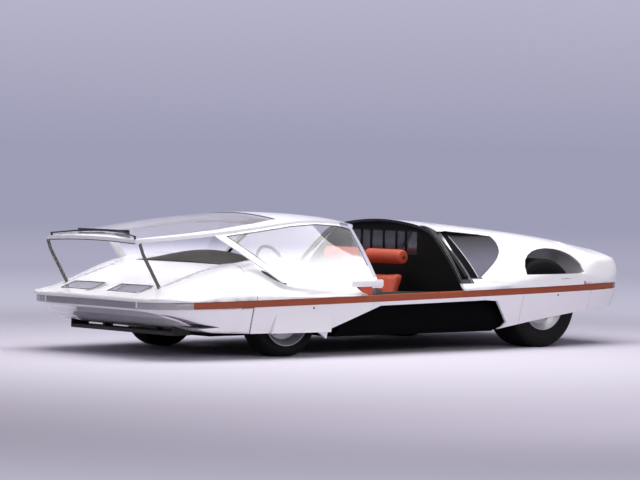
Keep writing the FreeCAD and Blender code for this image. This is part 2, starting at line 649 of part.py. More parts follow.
for side_piece in (tub_side, sill_shelf, foot_side, toe_wall):
    tub_parts.append(side_piece)
    tub_parts.append(mirrored(side_piece.Label + "_other", side_piece))
tub = fuse("tub", tub_parts)

# Black side pods that fill the scallops, with rounded lower edges.
pod_face = flat("pod_face", [
    (size("pod_front"), size("pod_half_width") - size("pod_round"), size("underside")),
    (size("pod_front"), size("pod_half_width"), size("underside") + size("pod_round")),
    (size("pod_front"), size("pod_half_width"), size("pod_top")),
    (size("pod_front"), size("tub_half_width"), size("pod_top")),
    (size("pod_front"), size("tub_half_width"), size("underside"))])
pod_long = prism("pod_long", pod_face, (-1, 0, 0), "pod_front - pod_rear")
pod_front_face = flat("pod_side_face", [
    (size("pod_front"), 0, size("underside")),
    (size("pod_front") - size("pod_round"), 0, size("pod_top") * 0.62),
    (size("scallop_front_x"), 0, size("pod_top")),
    (size("pod_rear") + size("pod_round") * 2, 0, size("pod_top")),
    (size("pod_rear"), 0, size("pod_top") * 0.7),
    (size("pod_rear"), 0, size("underside") + size("pod_round")),
    (size("pod_rear") + size("pod_round"), 0, size("underside"))])
pod_side = prism("pod_side", pod_front_face, (0, 1, 0), "body_width")
side_pods = pair("side_pods", common("side_pod", pod_long, pod_side))


def turned(label, points, base, facing_right=False):
    """A body spun about the axle: each point is (radius, place along the axle)."""
    body = doc.addObject("PartDesign::Body", label)
    plane = [item for item in body.Origin.OriginFeatures if item.Role == "XY_Plane"][0]
    sketch = body.newObject("Sketcher::SketchObject", label + "_profile")
    sketch.AttachmentSupport = [(plane, "")]
    sketch.MapMode = "FlatFace"
    draw(sketch, points)
    turn = body.newObject("PartDesign::Revolution", label + "_turn")
    turn.Profile = sketch
    turn.ReferenceAxis = (sketch, ["V_Axis"])
    body.Tip = turn
    if facing_right:
        body.Placement = Placement(Vector(), Rotation(Vector(0, 0, 1), 180))
    for side, letter in enumerate("xyz"):
        tie(body, "Placement.Base." + letter, base[side])
    return body


def draw(sketch, points):
    """Straight lines round a profile, each corner held by two named sizes."""
    last = len(points) - 1
    rough = [Vector(index, index * index, 0) for index in range(len(points))]
    for index in range(len(points)):
        sketch.addGeometry(Part.LineSegment(rough[index], rough[(index + 1) % len(points)]))
    for index in range(len(points)):
        following = 0 if index == last else index + 1
        sketch.addConstraint(Sketcher.Constraint("Coincident", index, 2, following, 1))
    for index, (across, up) in enumerate(points):
        for kind, text in (("DistanceX", across), ("DistanceY", up)):
            spot = sketch.addConstraint(Sketcher.Constraint(kind, -1, 1, index, 1, 1.0))
            sketch.setExpression("Constraints[%d]" % spot, link(text))


def padded_profile(label, points, width, base):
    """A side profile made as wide as the piece, half each way from its own middle."""
    body = doc.addObject("PartDesign::Body", label)
    plane = [item for item in body.Origin.OriginFeatures if item.Role == "XZ_Plane"][0]
    sketch = body.newObject("Sketcher::SketchObject", label + "_profile")
    sketch.AttachmentSupport = [(plane, "")]
    sketch.MapMode = "FlatFace"
    draw(sketch, points)
    pad = body.newObject("PartDesign::Pad", label + "_pad")
    pad.Profile = sketch
    pad.SideType = "Symmetric"
    tie(pad, "Length", width)
    body.Tip = pad
    for side, letter in enumerate("xyz"):
        tie(body, "Placement.Base." + letter, base[side])
    return body


def tyre(label, end, sign):
    """A tyre of one axle: bead, bulged walls, rounded shoulders and flat tread."""
    width = end + "_tyre_width"
    tread = end + "_tyre_radius"
    half = "%s / 2" % width
    profile = [
        ("rim_seat", "-%s + tyre_tuck * 2" % half), ("rim_radius", "-%s + tyre_tuck" % half),
        ("(rim_radius + %s) / 2" % tread, "-%s" % half),
        ("%s - tread_round" % tread, "-%s + tyre_tuck * 0.2" % half),
        ("%s - tread_round * 0.3" % tread, "-%s + tread_round * 0.5" % half),
        (tread, "-%s + tread_round" % half), (tread, "%s - tread_round" % half),
        ("%s - tread_round * 0.3" % tread, "%s - tread_round * 0.5" % half),
        ("%s - tread_round" % tread, "%s - tyre_tuck * 0.2" % half),
        ("(rim_radius + %s) / 2" % tread, half), ("rim_radius", "%s - tyre_tuck" % half),
        ("rim_seat", "%s - tyre_tuck * 2" % half)]
    return turned(label, profile, hub(end, sign), sign < 0)


def hub(end, sign):
    """The middle of a wheel."""
    axle = "front_axle" if end == "front" else "front_axle - wheelbase"
    reach = "(body_width / 2 * %s_face_share - %s_tyre_width / 2)" % (end, end)
    return (axle, reach if sign > 0 else "-" + reach, end + "_tyre_radius")


def rim(label, end, sign):
    """A dished rim: barrel, lips, disc with five round openings and a hub nut."""
    half = "%s_tyre_width / 2" % end
    lip = "%s - tyre_tuck / 2" % half
    disc = "(%s - rim_dish)" % lip
    profile = [
        ("spindle_radius + running_gap", disc + " - disc_thickness"),
        ("spindle_radius + running_gap", disc),
        ("hub_radius", disc + " + disc_thickness"),
        ("hub_radius * 1.3", disc), ("rim_seat - rim_wall * 3", disc + " - disc_thickness * 0.3"),
        ("rim_seat - rim_wall", disc + " + rim_dish * 0.5"), ("rim_radius - rim_wall / 2", lip),
        ("rim_radius - running_gap", lip),
        ("rim_radius - running_gap", "%s - tyre_tuck + running_gap" % half),
        ("rim_seat - running_gap", "%s - tyre_tuck * 2 + running_gap" % half),
        ("rim_seat - running_gap", "-%s + tyre_tuck * 2 - running_gap" % half),
        ("rim_radius - running_gap", "-%s + tyre_tuck - running_gap" % half),
        ("rim_radius - running_gap", "-%s + tyre_tuck / 2" % half),
        ("rim_radius - rim_wall", "-%s + tyre_tuck / 2" % half),
        ("rim_seat - rim_wall", "-%s + tyre_tuck * 2" % half),
        ("rim_seat - rim_wall", disc + " - disc_thickness * 1.6"),
        ("rim_seat - rim_wall * 3", disc + " - disc_thickness * 1.6")]
    plain = turned(label + "_blank", profile, hub(end, sign), sign < 0)
    holes = []
    middle = hub(end, sign)
    for step in range(5):
        angle = 72 * step + 18
        holes.append(rod("%s_hole_%d" % (label, step), (
            "%s + disc_hole_circle * cos(%d)" % (middle[0], angle), middle[1],
            "%s + disc_hole_circle * sin(%d)" % (middle[2], angle)),
            (0, sign, 0), "disc_hole_radius", half))
    return cut(label, plain, group_of(label + "_holes", holes))


wheels = []
for end in ("front", "rear"):
    for side, sign in (("left", 1), ("right", -1)):
        wheels.append(tyre("%s_tyre_%s" % (end, side), end, sign))
        wheels.append(rim("%s_rim_%s" % (end, side), end, sign))

# Front knuckles: an upright on each king pin line, with the spindle that carries the wheel.
face_front = "(body_width / 2 * front_face_share)"
pin_line = "(%s - front_tyre_width - knuckle_width / 2)" % face_front
disc_back = ("(%s - tyre_tuck / 2 - rim_dish - disc_thickness)" % face_front)
upright = block("knuckle_upright", ("front_axle - knuckle_length / 2",
                                    pin_line + " - knuckle_width / 2",
                                    "front_tyre_radius - knuckle_height / 2"),
                ("front_axle + knuckle_length / 2", pin_line + " + knuckle_width / 2",
                 "front_tyre_radius + knuckle_height / 2"))
spindle = rod("spindle", ("front_axle", pin_line, "front_tyre_radius"), (0, 1, 0),
              "spindle_radius", "%s - %s + disc_thickness" % (disc_back, pin_line))
backing = rod("brake_plate", ("front_axle", pin_line + " + knuckle_width / 2",
                              "front_tyre_radius"), (0, 1, 0), "rim_seat * 0.72",
              "disc_thickness")
knuckle_left = fuse("knuckle_left", [upright, spindle, backing])
knuckle_right = mirrored("knuckle_right", knuckle_left)


def arm_pair(label, axle, root, tip, low):
    """A flat wishbone, wide at the chassis and narrow at the wheel."""
    narrow = size("knuckle_length") / 2
    face = flat(label + "_face", [
        (axle - size("arm_spread"), root, low), (axle + size("arm_spread"), root, low),
        (axle + narrow, tip - narrow, low), (axle + narrow, tip, low),
        (axle - narrow, tip, low), (axle - narrow, tip - narrow, low)])
    return prism(label, face, (0, 0, 1), "arm_thickness")


front_pin_y = (half_width * size("front_face_share") - size("front_tyre_width")
               - size("knuckle_width") / 2)
arm_tip = front_pin_y + size("arm_tip_reach")
low_arm = (size("front_tyre_radius") - size("knuckle_height") / 2 - size("running_gap")
           - size("arm_thickness"))
high_arm = size("front_tyre_radius") + size("knuckle_height") / 2 + size("running_gap")
front_arms = [arm_pair("front_low_arm", size("front_axle"), size("foot_box_half"), arm_tip,
                       low_arm),
              arm_pair("front_high_arm", size("front_axle"), size("foot_box_half"), arm_tip,
                       high_arm)]
front_suspension = pair("front_suspension", group_of("front_arms", front_arms))

# Rear suspension: wishbones, uprights and half-shafts beside the gearbox.
rear_face = "(body_width / 2 * rear_face_share)"
rear_line = "(%s - rear_tyre_width - knuckle_width)" % rear_face
rear_disc = "(%s - tyre_tuck / 2 - rim_dish - disc_thickness)" % rear_face
rear_upright = block("rear_upright", (rear_axle + " - knuckle_length / 2", rear_line,
                                      "rear_tyre_radius - knuckle_height / 2"),
                     (rear_axle + " + knuckle_length / 2", rear_line + " + knuckle_width",
                      "rear_tyre_radius + knuckle_height / 2"))
rear_shaft = rod("half_shaft", (rear_axle, "gearbox_width / 2", "rear_tyre_radius"), (0, 1, 0),
                 "shaft_radius", "%s - gearbox_width / 2" % rear_line)
rear_spindle = rod("rear_spindle", (rear_axle, rear_line, "rear_tyre_radius"), (0, 1, 0),
                   "spindle_radius", "%s - %s + disc_thickness" % (rear_disc, rear_line))
rear_plate = rod("rear_brake_plate", (rear_axle, rear_line + " + knuckle_width",
                                      "rear_tyre_radius"), (0, 1, 0), "rim_seat * 0.72",
                 "disc_thickness")
rear_tip = half_width * size("rear_face_share") - size("rear_tyre_width")
rear_arm = arm_pair("rear_arm", size("front_axle") - size("wheelbase"),
                    size("gearbox_width") / 2, rear_tip,
                    size("rear_tyre_radius") - size("knuckle_height") / 2)
rear_suspension = pair("rear_suspension", fuse("rear_corner", [
    rear_upright, rear_shaft, rear_spindle, rear_plate, rear_arm]))

# Engine and gearbox: one plain block each, joined.
engine_case = block("engine_case", ("engine_front - engine_length", "-engine_width / 2",
                                    floor_high),
                    ("engine_front", "engine_width / 2", floor_high + " + engine_height"))
gear_case = block("gear_case", ("engine_front - engine_length - gearbox_length",
                                "-gearbox_width / 2", floor_high + " + gearbox_lift"),
                  ("engine_front - engine_length", "gearbox_width / 2",
                   floor_high + " + gearbox_lift + gearbox_height"))
engine_block = fuse("engine_block", [engine_case, gear_case])

# Bulkhead behind the seats, with the rear window set in it.
bulkhead_box = block("bulkhead_box", ("roof_front - bulkhead_thickness * 2",
                                      "-body_width * 0.45", floor_high),
                     ("roof_front - bulkhead_thickness", "body_width * 0.45",
                      "body_height * 1.1"))
window_face_box = block("rear_window_opening", (
    "roof_front - body_width", "-rear_window_half", "rear_window_bottom"),
    ("-roof_front", "rear_window_half", "rear_window_bottom + rear_window_height"))
bulkhead_wall = common("bulkhead_wall", bulkhead_box, tail_inner)
side_room = block("side_room", ("roof_front - body_width", "-tub_half_width", "0"),
                  ("-roof_front", "tub_half_width", "sill_top"))
above_sill = block("above_sill", ("roof_front - body_width", "-body_width", "sill_top"),
                   ("-roof_front", "body_width", "body_height * 2"))
bulkhead_kept = common("bulkhead_kept", bulkhead_wall, fuse("bulkhead_room", [side_room,
                                                                             above_sill]))
bulkhead = cut("bulkhead", bulkhead_kept, window_face_box)
rear_window = block("rear_window", (
    "roof_front - bulkhead_thickness * 1.5 - glass_thickness / 2", "-rear_window_half",
    "rear_window_bottom"),
    ("roof_front - bulkhead_thickness * 1.5 + glass_thickness / 2", "rear_window_half",
     "rear_window_bottom + rear_window_height"))

# Dash: a crowned cowl across the cabin behind the hood.
# Shares of its length back from the hood, then of dash height at the middle and the sides.
DASH_SHARES = [(0.0, .893, .880), (0.2, .945, .888), (0.42, .992, .895), (0.66, 1.0, .895),
               (0.85, .985, .885), (1.0, .93, .86)]
dash_rows = []
dash_half = size("hood_half_width")
for along, middle, edge in DASH_SHARES:
    x = size("hood_rear") + (size("dash_rear") - size("hood_rear")) * along
    line = []
    for across in (-1.0, -0.66, -0.33, 0.0, 0.33, 0.66, 1.0):
        share = middle + (edge - middle) * across ** 2
        line.append(Vector(x, across * dash_half, share * size("dash_height")))
    dash_rows.append(line)
dash_skin = skin("dash_skin", dash_rows)
dash = prism("dash", dash_skin, (0, 0, -1), "dash_depth")

# Steering wheel: rim, two spokes, hub and column, raked with the column.
wheel_middle = Vector(size("wheel_x"), size("seat_reach"), size("wheel_height"))
tilt_turn = Rotation(Vector(0, 1, 0), 90 + size("column_rake"))
grip = doc.addObject("Part::Torus", "steering_grip")
tie(grip, "Radius1", "wheel_radius")
tie(grip, "Radius2", "wheel_grip")
grip.Placement = Placement(wheel_middle, tilt_turn)
column = doc.addObject("Part::Cylinder", "steering_column")
tie(column, "Radius", "column_radius")
tie(column, "Height", "dash_rear - wheel_x + wheel_grip * 4")
column.Placement = Placement(wheel_middle, tilt_turn)
spoke = doc.addObject("Part::Box", "steering_spoke")
tie(spoke, "Length", "wheel_grip * 2")
tie(spoke, "Width", "wheel_radius * 2")
tie(spoke, "Height", "wheel_grip * 0.5")
spoke.Placement = Placement(wheel_middle + tilt_turn.multVec(
    Vector(-size("wheel_grip"), -size("wheel_radius"), -size("wheel_grip") / 4)), tilt_turn)
dash_side = block("dash_side", ("dash_rear", "-body_width", "0"),
                  ("body_length", "body_width", "body_height"))
steering_wheel = cut("steering_wheel", fuse("steering_whole", [grip, column, spoke]), dash_side)

# Seats: one cushion and raked back each, with a roll above as the headrest.
seat_floor = "underside + tub_floor + running_gap"
seat_profile = [
    ("seat_front", seat_floor), ("seat_front", seat_floor + " + seat_cushion"),
    ("seat_hip", seat_floor + " + seat_cushion * 0.8"),
    ("seat_hip - seat_back_rake", "seat_back_top"),
    ("seat_hip - seat_back_rake - seat_back_depth * 0.6", "seat_back_top"),
    ("seat_hip - seat_back_depth", seat_floor)]
seats = []
rolls = []
for side, sign in (("left", ""), ("right", "-")):
    seats.append(padded_profile("seat_" + side, seat_profile, "seat_width",
                                ("0", sign + "seat_reach", "0")))
    roll = rod("headrest_roll_" + side, (
        "headrest_x", sign + "seat_reach - headrest_length / 2", "headrest_height"), (0, 1, 0),
        "headrest_radius", "headrest_length")
    post = block("headrest_post_" + side, (
        "roof_front - bulkhead_thickness", sign + "seat_reach - headrest_post",
        "headrest_height - headrest_post"),
        ("headrest_x - headrest_radius * 0.9", sign + "seat_reach + headrest_post",
         "headrest_height + headrest_post"))
    rolls.append(fuse("headrest_" + side, [roll, post]))

# Blade under the nose: a flat wing with round-fronted end plates, hung on two stays.
blade_wing = block("blade_wing", ("blade_front - blade_chord", "-blade_half_width",
                                  "blade_bottom"),
                   ("blade_front", "blade_half_width", "blade_bottom + blade_thickness"))
blade_end = block("blade_end", ("blade_front - blade_chord", "blade_half_width", "blade_bottom"),
                  ("blade_front", "blade_half_width + blade_end_thickness",
                   "blade_bottom + blade_end_height"))
blade_stay = block("blade_stay", ("blade_front - blade_chord", "blade_half_width / 2",
                                  "blade_bottom"),
                   ("blade_front - blade_chord / 2", "blade_half_width / 2 + blade_stay_width",
                    "prow_height * 1.4"))
blade_whole = fuse("blade_whole", [blade_wing, blade_end, mirrored("blade_end_other", blade_end),
                                   blade_stay, mirrored("blade_stay_other", blade_stay)])
front_blade = cut("front_blade", blade_whole, lower_solid)

# Tail: black panel in the opening under the belt, with four pipes through it.
tail_window = block("tail_window", ("-body_length", "-blade_half_width",
                                    "tail_bottom + shut_gap * 4"),
                    ("-body_length * 0.45", "blade_half_width",
                     "belt_nose_height + belt_rise * 0.8"))
lower_tail = cut("lower_tail", tail_skirt, tail_window)


def pipe_set(label, radius):
    """Two tail pipes on one side, or the bores for them."""
    pieces = []
    for step in (-0.5, 0.5):
        pieces.append(rod("%s_%d" % (label, round(step * 2)), (
            "-body_length / 2 + shut_gap", "tail_pipe_offset + tail_pipe_spacing * %s" % step,
            "tail_pipe_height"), (1, 0, 0), radius, "tail_pipe_length"))
    return group_of(label, pieces)


pipe_bores = pair("pipe_bores", pipe_set("pipe_bore", "tail_pipe_radius + running_gap"))
pipe_outer = pair("pipe_outer", pipe_set("pipe_wall", "tail_pipe_radius"))
pipe_hollow = pair("pipe_hollow", pipe_set("pipe_bore_inner", "tail_pipe_radius - tail_pipe_wall"))
tail_pipes = cut("tail_pipes", pipe_outer, pipe_hollow)
panel_box = block("panel_box", ("-body_length / 2", "-blade_half_width - overrun",
                                "tail_bottom - shut_gap"),
                  ("-body_length / 2 + tail_grille_depth * 2", "blade_half_width + overrun",
                   "belt_nose_height + belt_rise * 0.9"))
tail_panel = cut("tail_panel", common("panel_trimmed", panel_box, inner_loft), pipe_bores)

# Canopy: one frame of header, rails, raked pillars, sills and roof, as it stands slid forward.
# Place back from the header, half width, edge height and crown height, as shares.
ROOF_SHARES = [
    (0.0, .772, .8215, .8355), (0.095, .844, .8355, .897), (0.22, .933, .8545, .937),
    (0.376, .998, .885, .971), (0.53, .972, .916, .992), (0.66, .933, .944, 1.002),
    (0.785, .889, .955, .998), (0.91, .83, .940, .985), (1.0, .787, .915, .967)]


def roof_spot(along, half, edge, crown, across):
    height = edge + (crown - edge) * (1 - across * across)
    return Vector(size("canopy_front") - along * size("canopy_length"),
                  across * half * size("canopy_half_width"), height * size("canopy_crown"))


roof_rows = []
for row in ROOF_SHARES:
    roof_rows.append([roof_spot(*row, across) for across in (-1, -0.67, -0.33, 0, 0.33, 0.67, 1)])
roof_skin = skin("roof_skin", roof_rows)
roof_slab = prism("roof_slab", roof_skin, (0, 0, -1), "frame_depth")


def screen_face(label, gap):
    """Plan of the windscreen opening, narrower where the rails are wide."""
    front = size("canopy_front") - size("header_width") - gap
    rear = size("screen_rear_x") + gap
    half = size("canopy_half_width")
    left = [(front, half * 0.715 - gap, 0), (front - (front - rear) * 0.25, half * 0.83 - gap, 0),
            (front - (front - rear) * 0.5, half * 0.885 - gap, 0),
            (front - (front - rear) * 0.78, half * 0.84 - gap, 0),
            (rear, size("screen_rear_half") - gap, 0)]
    return flat(label, left + [(x, -y, z) for x, y, z in reversed(left)])


screen_hole = prism("screen_hole", screen_face("screen_hole_face", 0.0), (0, 0, 1),
                    "2 * body_height")
roof_frame = cut("roof_frame", roof_slab, screen_hole)
glass_top = shifted("screen_skin", roof_skin, (0, 0, -size("glass_drop")))
windscreen = common("windscreen", prism("screen_sheet", glass_top, (0, 0, -1),
                                        "glass_thickness"),
                    prism("screen_trim", screen_face("screen_trim_face", size("running_gap")),
                          (0, 0, 1), "2 * body_height"))


def foot_reach(x):
    """How far out the side's lower edge stands at a place along the canopy."""
    share = (size("pillar_foot_x") - x) / (size("pillar_foot_x") - size("rear_frame_foot_x"))
    return (size("foot_front_reach")
            + (size("foot_rear_reach") - size("foot_front_reach")) * share)


side_rows = []
for row in ROOF_SHARES[2:]:
    top = roof_spot(*row, 1) - Vector(0, size("glass_drop"), size("frame_depth") / 2)
    foot = Vector(top.x, foot_reach(top.x), size("foot_height"))
    side_rows.append([top, top + (foot - top) / 3 + Vector(0, size("side_depth") / 3, 0),
                      top + (foot - top) * 2 / 3 + Vector(0, size("side_depth") / 3, 0), foot])
side_skin = skin("side_skin", side_rows)
side_slab = prism("side_slab", side_skin, (0, -1, 0), "side_depth")
pillar_run = size("pillar_top_x") - size("pillar_foot_x")
pillar_rise = size("canopy_crown") * 0.859 - size("foot_height")
rear_run = size("rear_frame_foot_x") - size("rear_frame_top_x")
rear_rise = size("canopy_crown") * 0.905 - size("foot_height")


def pillar_x(height, back):
    return (size("pillar_foot_x") - back
            + (height - size("foot_height")) * pillar_run / pillar_rise)


def rear_x(height, forward):
    return (size("rear_frame_foot_x") + forward
            - (height - size("foot_height")) * rear_run / rear_rise)


high = size("canopy_crown")
low = size("foot_height")
side_frame_face = flat("side_frame_face", [
    (pillar_x(high, 0), 0, high), (pillar_x(low, 0), 0, low), (rear_x(low, 0), 0, low),
    (rear_x(high, 0), 0, high)])
side_trim = prism("side_trim", side_frame_face, (0, 1, 0), "body_width")


def side_opening(label, gap):
    """Side window outline: raked front, level sill, raked rear and curved top."""
    band = size("roof_band") + gap
    base = size("foot_height") + size("sill_depth") + gap
    back = size("pillar_width") * 1.25 + gap
    forward = size("rear_frame_width") + gap
    tops = []
    for along, half, edge, crown in ROOF_SHARES[3:8]:
        spot = roof_spot(along, half, edge, crown, 1)
        tops.append((spot.x, 0, spot.z - band))
    first = roof_spot(0.34, 1.0, 0.876, 1.0, 1)
    front_top = (pillar_x(first.z - band, back), 0, first.z - band)
    rear_top_height = roof_spot(*ROOF_SHARES[-1], 1).z - band
    rear_top = (rear_x(rear_top_height, forward), 0, rear_top_height + gap)
    points = [(pillar_x(base, back), 0, base), front_top] + tops + [
        rear_top, (rear_x(base, forward), 0, base)]
    return flat(label, points)


side_hole = prism("side_hole", side_opening("side_hole_face", 0.0), (0, 1, 0), "body_width")
side_frame = cut("side_frame", common("side_trimmed", side_slab, side_trim), side_hole)
pane_skin = shifted("pane_skin", side_skin, (0, -size("glass_drop"), 0))
pane = common("side_pane", prism("pane_sheet", pane_skin, (0, -1, 0), "glass_thickness"),
              prism("pane_trim", side_opening("pane_trim_face", size("running_gap")), (0, 1, 0),
                    "body_width"))
side_glass = pair("side_glass", pane)
foot_block = block("foot_block", ("runner_x - foot_block_length / 2",
                                  "runner_reach - foot_block_width / 2",
                                  "tilt_height - foot_block_height / 2"),
                   ("runner_x + foot_block_length / 2", "runner_reach + foot_block_width / 2",
                    "foot_height + sill_depth / 2"))
pin_bore = rod("pin_bore", ("runner_x", "runner_reach - foot_block_width", "tilt_height"),
               (0, 1, 0), "tilt_pin_radius + running_gap", "tilt_pin_length * 2")
half_frame = cut("half_frame", fuse("half_frame_solid", [side_frame, foot_block]), pin_bore)
side_frames = fuse("side_frames", [half_frame, mirrored("half_frame_other", half_frame)])
canopy_frame = fuse("canopy_frame", [roof_frame, side_frames])

# Runners: shoes that slide on the sill tracks, each with a pin that the canopy tilts on.
slope = size("slide_drop") / size("slide_travel")


def along_track(x, drop):
    """Height of the track's line at a place, below the runner's foot by a drop."""
    return size("runner_base") + (x - size("runner_x")) * slope - drop


shoe_front = size("runner_x") + size("runner_length") / 2
shoe_rear = size("runner_x") - size("runner_length") / 2
shoe = prism("runner_shoe", flat("runner_shoe_face", [
    (shoe_rear, size("runner_reach") - size("runner_width") / 2, along_track(shoe_rear, 0)),
    (shoe_front, size("runner_reach") - size("runner_width") / 2, along_track(shoe_front, 0)),
    (shoe_front, size("runner_reach") - size("runner_width") / 2,
     along_track(shoe_front, -size("runner_height"))),
    (shoe_rear, size("runner_reach") - size("runner_width") / 2,
     along_track(shoe_rear, -size("runner_height")))]), (0, 1, 0), "runner_width")
lug_low = "runner_base + runner_height / 2"
lug = block("runner_lug", ("runner_x - runner_length / 4",
                           "runner_reach - foot_block_width / 2 - running_gap - lug_thickness",
                           lug_low),
            ("runner_x + runner_length / 4",
             "runner_reach - foot_block_width / 2 - running_gap",
             "tilt_height + tilt_pin_radius * 2"))
lug_base = block("lug_base", ("runner_x - runner_length / 4",
                              "runner_reach - foot_block_width / 2 - running_gap - lug_thickness",
                              lug_low),
                 ("runner_x + runner_length / 4", "runner_reach", "runner_base + runner_height"))
tilt_pin = rod("tilt_pin", ("runner_x",
                            "runner_reach - foot_block_width / 2 - lug_thickness / 2",
                            "tilt_height"), (0, 1, 0), "tilt_pin_radius",
               "foot_block_width / 2 + lug_thickness")
runners = pair("runners", fuse("runner", [shoe, lug, lug_base, tilt_pin]))
track_front = shoe_front
track_rear = shoe_rear - size("slide_travel") - size("foot_block_width") / 4
track_low = size("sill_top")
track_y = size("runner_reach") - size("runner_width") / 2
track = prism("track", flat("track_face", [
    (track_rear, track_y, track_low), (track_front, track_y, track_low),
    (track_front, track_y, along_track(track_front, size("running_gap"))),
    (track_rear, track_y, along_track(track_rear, size("running_gap")))]), (0, 1, 0),
    "runner_width")
canopy_track = pair("canopy_track", track)

# Wipers: posts at the header's ends, arms that reach inward and blades that lie on the glass.
post_x = size("canopy_front") - size("header_width") / 2
post_y = size("canopy_half_width") * 0.73
post_z = height_on(roof_skin, post_x, post_y) - size("frame_depth") / 2
post_top = Vector(post_x, post_y, post_z + size("frame_depth") / 2 + size("wiper_post_height"))
wiper_post = doc.addObject("Part::Cylinder", "wiper_post")
tie(wiper_post, "Radius", "wiper_radius * 1.6")
tie(wiper_post, "Height", "wiper_post_height + frame_depth / 2")
wiper_post.Placement = Placement(Vector(post_x, post_y, post_z), Rotation())
blade_y = size("wiper_blade_middle")
blade_z = height_on(roof_skin, size("wiper_blade_x"), blade_y)
blade_ends = [blade_y - size("wiper_blade_length") / 2, blade_y + size("wiper_blade_length") / 2]
blade_low = [height_on(roof_skin, size("wiper_blade_x"), y) - size("glass_drop")
             + size("running_gap") for y in blade_ends]
blade_high = max(blade_low) + size("wiper_blade_height")
wiper_blade = prism("wiper_blade", flat("wiper_blade_face", [
    (size("wiper_blade_x"), blade_ends[0], blade_low[0]),
    (size("wiper_blade_x"), blade_y, blade_z - size("glass_drop") + size("running_gap")),
    (size("wiper_blade_x"), blade_ends[1], blade_low[1]),
    (size("wiper_blade_x"), blade_ends[1], blade_high),
    (size("wiper_blade_x"), blade_ends[0], blade_high)]), (1, 0, 0), "wiper_blade_width")
arm_end = Vector(size("wiper_blade_x") + size("wiper_blade_width") / 2, blade_y,
                 blade_high - size("wiper_radius"))
arm_start = post_top - Vector(0, 0, size("wiper_radius"))
reach = arm_end - arm_start
arm_line = doc.addObject("Part::Cylinder", "wiper_arm")
tie(arm_line, "Radius", "wiper_radius")
arm_line.Height = reach.Length
arm_line.Placement = Placement(arm_start, Rotation(Vector(0, 0, 1), reach))
wiper_whole = fuse("wiper_whole", [wiper_post, arm_line, wiper_blade])
wipers = pair("wipers", cut("wiper", cut("wiper_off_frame", wiper_whole, roof_slab),
                            windscreen))

# Struts: flat bars hinged on the nose, bent near the top, that stand under the header's ends.
foot = Vector(size("strut_foot_x"), 0, size("strut_foot_height"))
head = Vector(size("strut_top_x"), 0, size("strut_top_height"))
line = head - foot
side_way = Vector(line.z, 0, -line.x).normalize()
bend = foot + line * size("strut_bend_share") + side_way * size("strut_bend_set")
half_bar = size("strut_width") / 2


def bar_outline():
    """The bar seen from the side, from its foot to its head and back."""
    ring = []
    for spot, out in ((foot - line.normalize() * half_bar, 1), (bend, 1), (head, 1),
                      (head, -1), (bend, -1), (foot - line.normalize() * half_bar, -1)):
        ring.append(spot + side_way * half_bar * out)
    return [(spot.x, size("strut_reach") - size("strut_thickness") / 2, spot.z) for spot in ring]


strut_bar = prism("strut_bar", flat("strut_face", bar_outline()), (0, 1, 0), "strut_thickness")
strut_bore = rod("strut_bore", ("strut_foot_x", "strut_reach - strut_groove",
                                "strut_foot_height"), (0, 1, 0),
                 "strut_pin_radius + running_gap", "strut_groove * 2")
strut_left = cut("strut_left", strut_bar, strut_bore)
strut_right = mirrored("strut_right", strut_left)
doc.recompute()
NODES = [
    nose_shell, rear_shell, lower_front, front_skirts, sills, rear_skirts, lower_tail,
    front_lens, belt_band, tail_lamp, lamp_covers, lamp_units, scoop_liners, tub, side_pods, front_suspension,
    rear_suspension, engine_block, bulkhead, rear_window, dash, steering_wheel, seats[0],
    seats[1], rolls[0], rolls[1], front_blade, tail_panel, tail_pipes, canopy_track,
    canopy_frame, windscreen, side_glass, wipers, runners, strut_left, strut_right,
    knuckle_left, knuckle_right] + wheels
doc.recompute()
failed = [thing.Label for thing in doc.Objects
          if "Invalid" in thing.State or "Error" in thing.State]
if failed:
    raise RuntimeError("these objects failed: " + ", ".join(failed))
os.makedirs("parts", exist_ok=True)
for node in NODES:
    name = node.Label
    shape = node.Shape
    if shape.isNull() or not shape.isValid() or not shape.Solids:
        raise RuntimeError("this piece has no sound shape: " + name)
    box = shape.optimalBoundingBox(False)
    print("%-18s %2d %9.2f  x %6.0f %6.0f  y %6.0f %6.0f  z %5.0f %5.0f" % (
        name, len(shape.Solids), shape.Volume / 1e6, box.XMin, box.XMax, box.YMin, box.YMax,
        box.ZMin, box.ZMax))
    shape.exportStep("parts/%s.step" % name)
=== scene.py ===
import math

import bmesh
import bpy
from mathutils import Matrix, Vector, geometry
from mathutils.bvhtree import BVHTree


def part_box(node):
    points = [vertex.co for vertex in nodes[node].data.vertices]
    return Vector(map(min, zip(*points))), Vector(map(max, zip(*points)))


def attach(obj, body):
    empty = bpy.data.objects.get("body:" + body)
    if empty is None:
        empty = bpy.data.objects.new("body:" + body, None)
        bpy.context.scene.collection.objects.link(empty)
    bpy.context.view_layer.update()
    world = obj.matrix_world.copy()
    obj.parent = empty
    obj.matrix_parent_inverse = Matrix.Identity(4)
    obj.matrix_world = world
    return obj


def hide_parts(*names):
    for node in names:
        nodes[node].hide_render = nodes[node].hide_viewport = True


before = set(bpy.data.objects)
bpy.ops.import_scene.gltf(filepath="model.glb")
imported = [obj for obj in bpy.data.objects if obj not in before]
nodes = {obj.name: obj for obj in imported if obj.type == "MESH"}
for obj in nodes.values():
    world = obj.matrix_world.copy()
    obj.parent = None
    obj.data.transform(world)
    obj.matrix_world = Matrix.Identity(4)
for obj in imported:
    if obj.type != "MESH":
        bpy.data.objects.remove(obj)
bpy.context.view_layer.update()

# Studio: a pale seamless floor under a soft overhead light, with a lavender backdrop.
# The backdrop is only a colour that the camera and the gloss see, so it adds no light.
FLOOR_MIDDLE = (1.5, 1.8, 0.0)
FLOOR_REACH = 40.0
FLOOR_RADIUS = 420.0
LIT_REACH, GLOW_REACH = 4.6, 8.5        # the lit floor passes into the glowing one between these
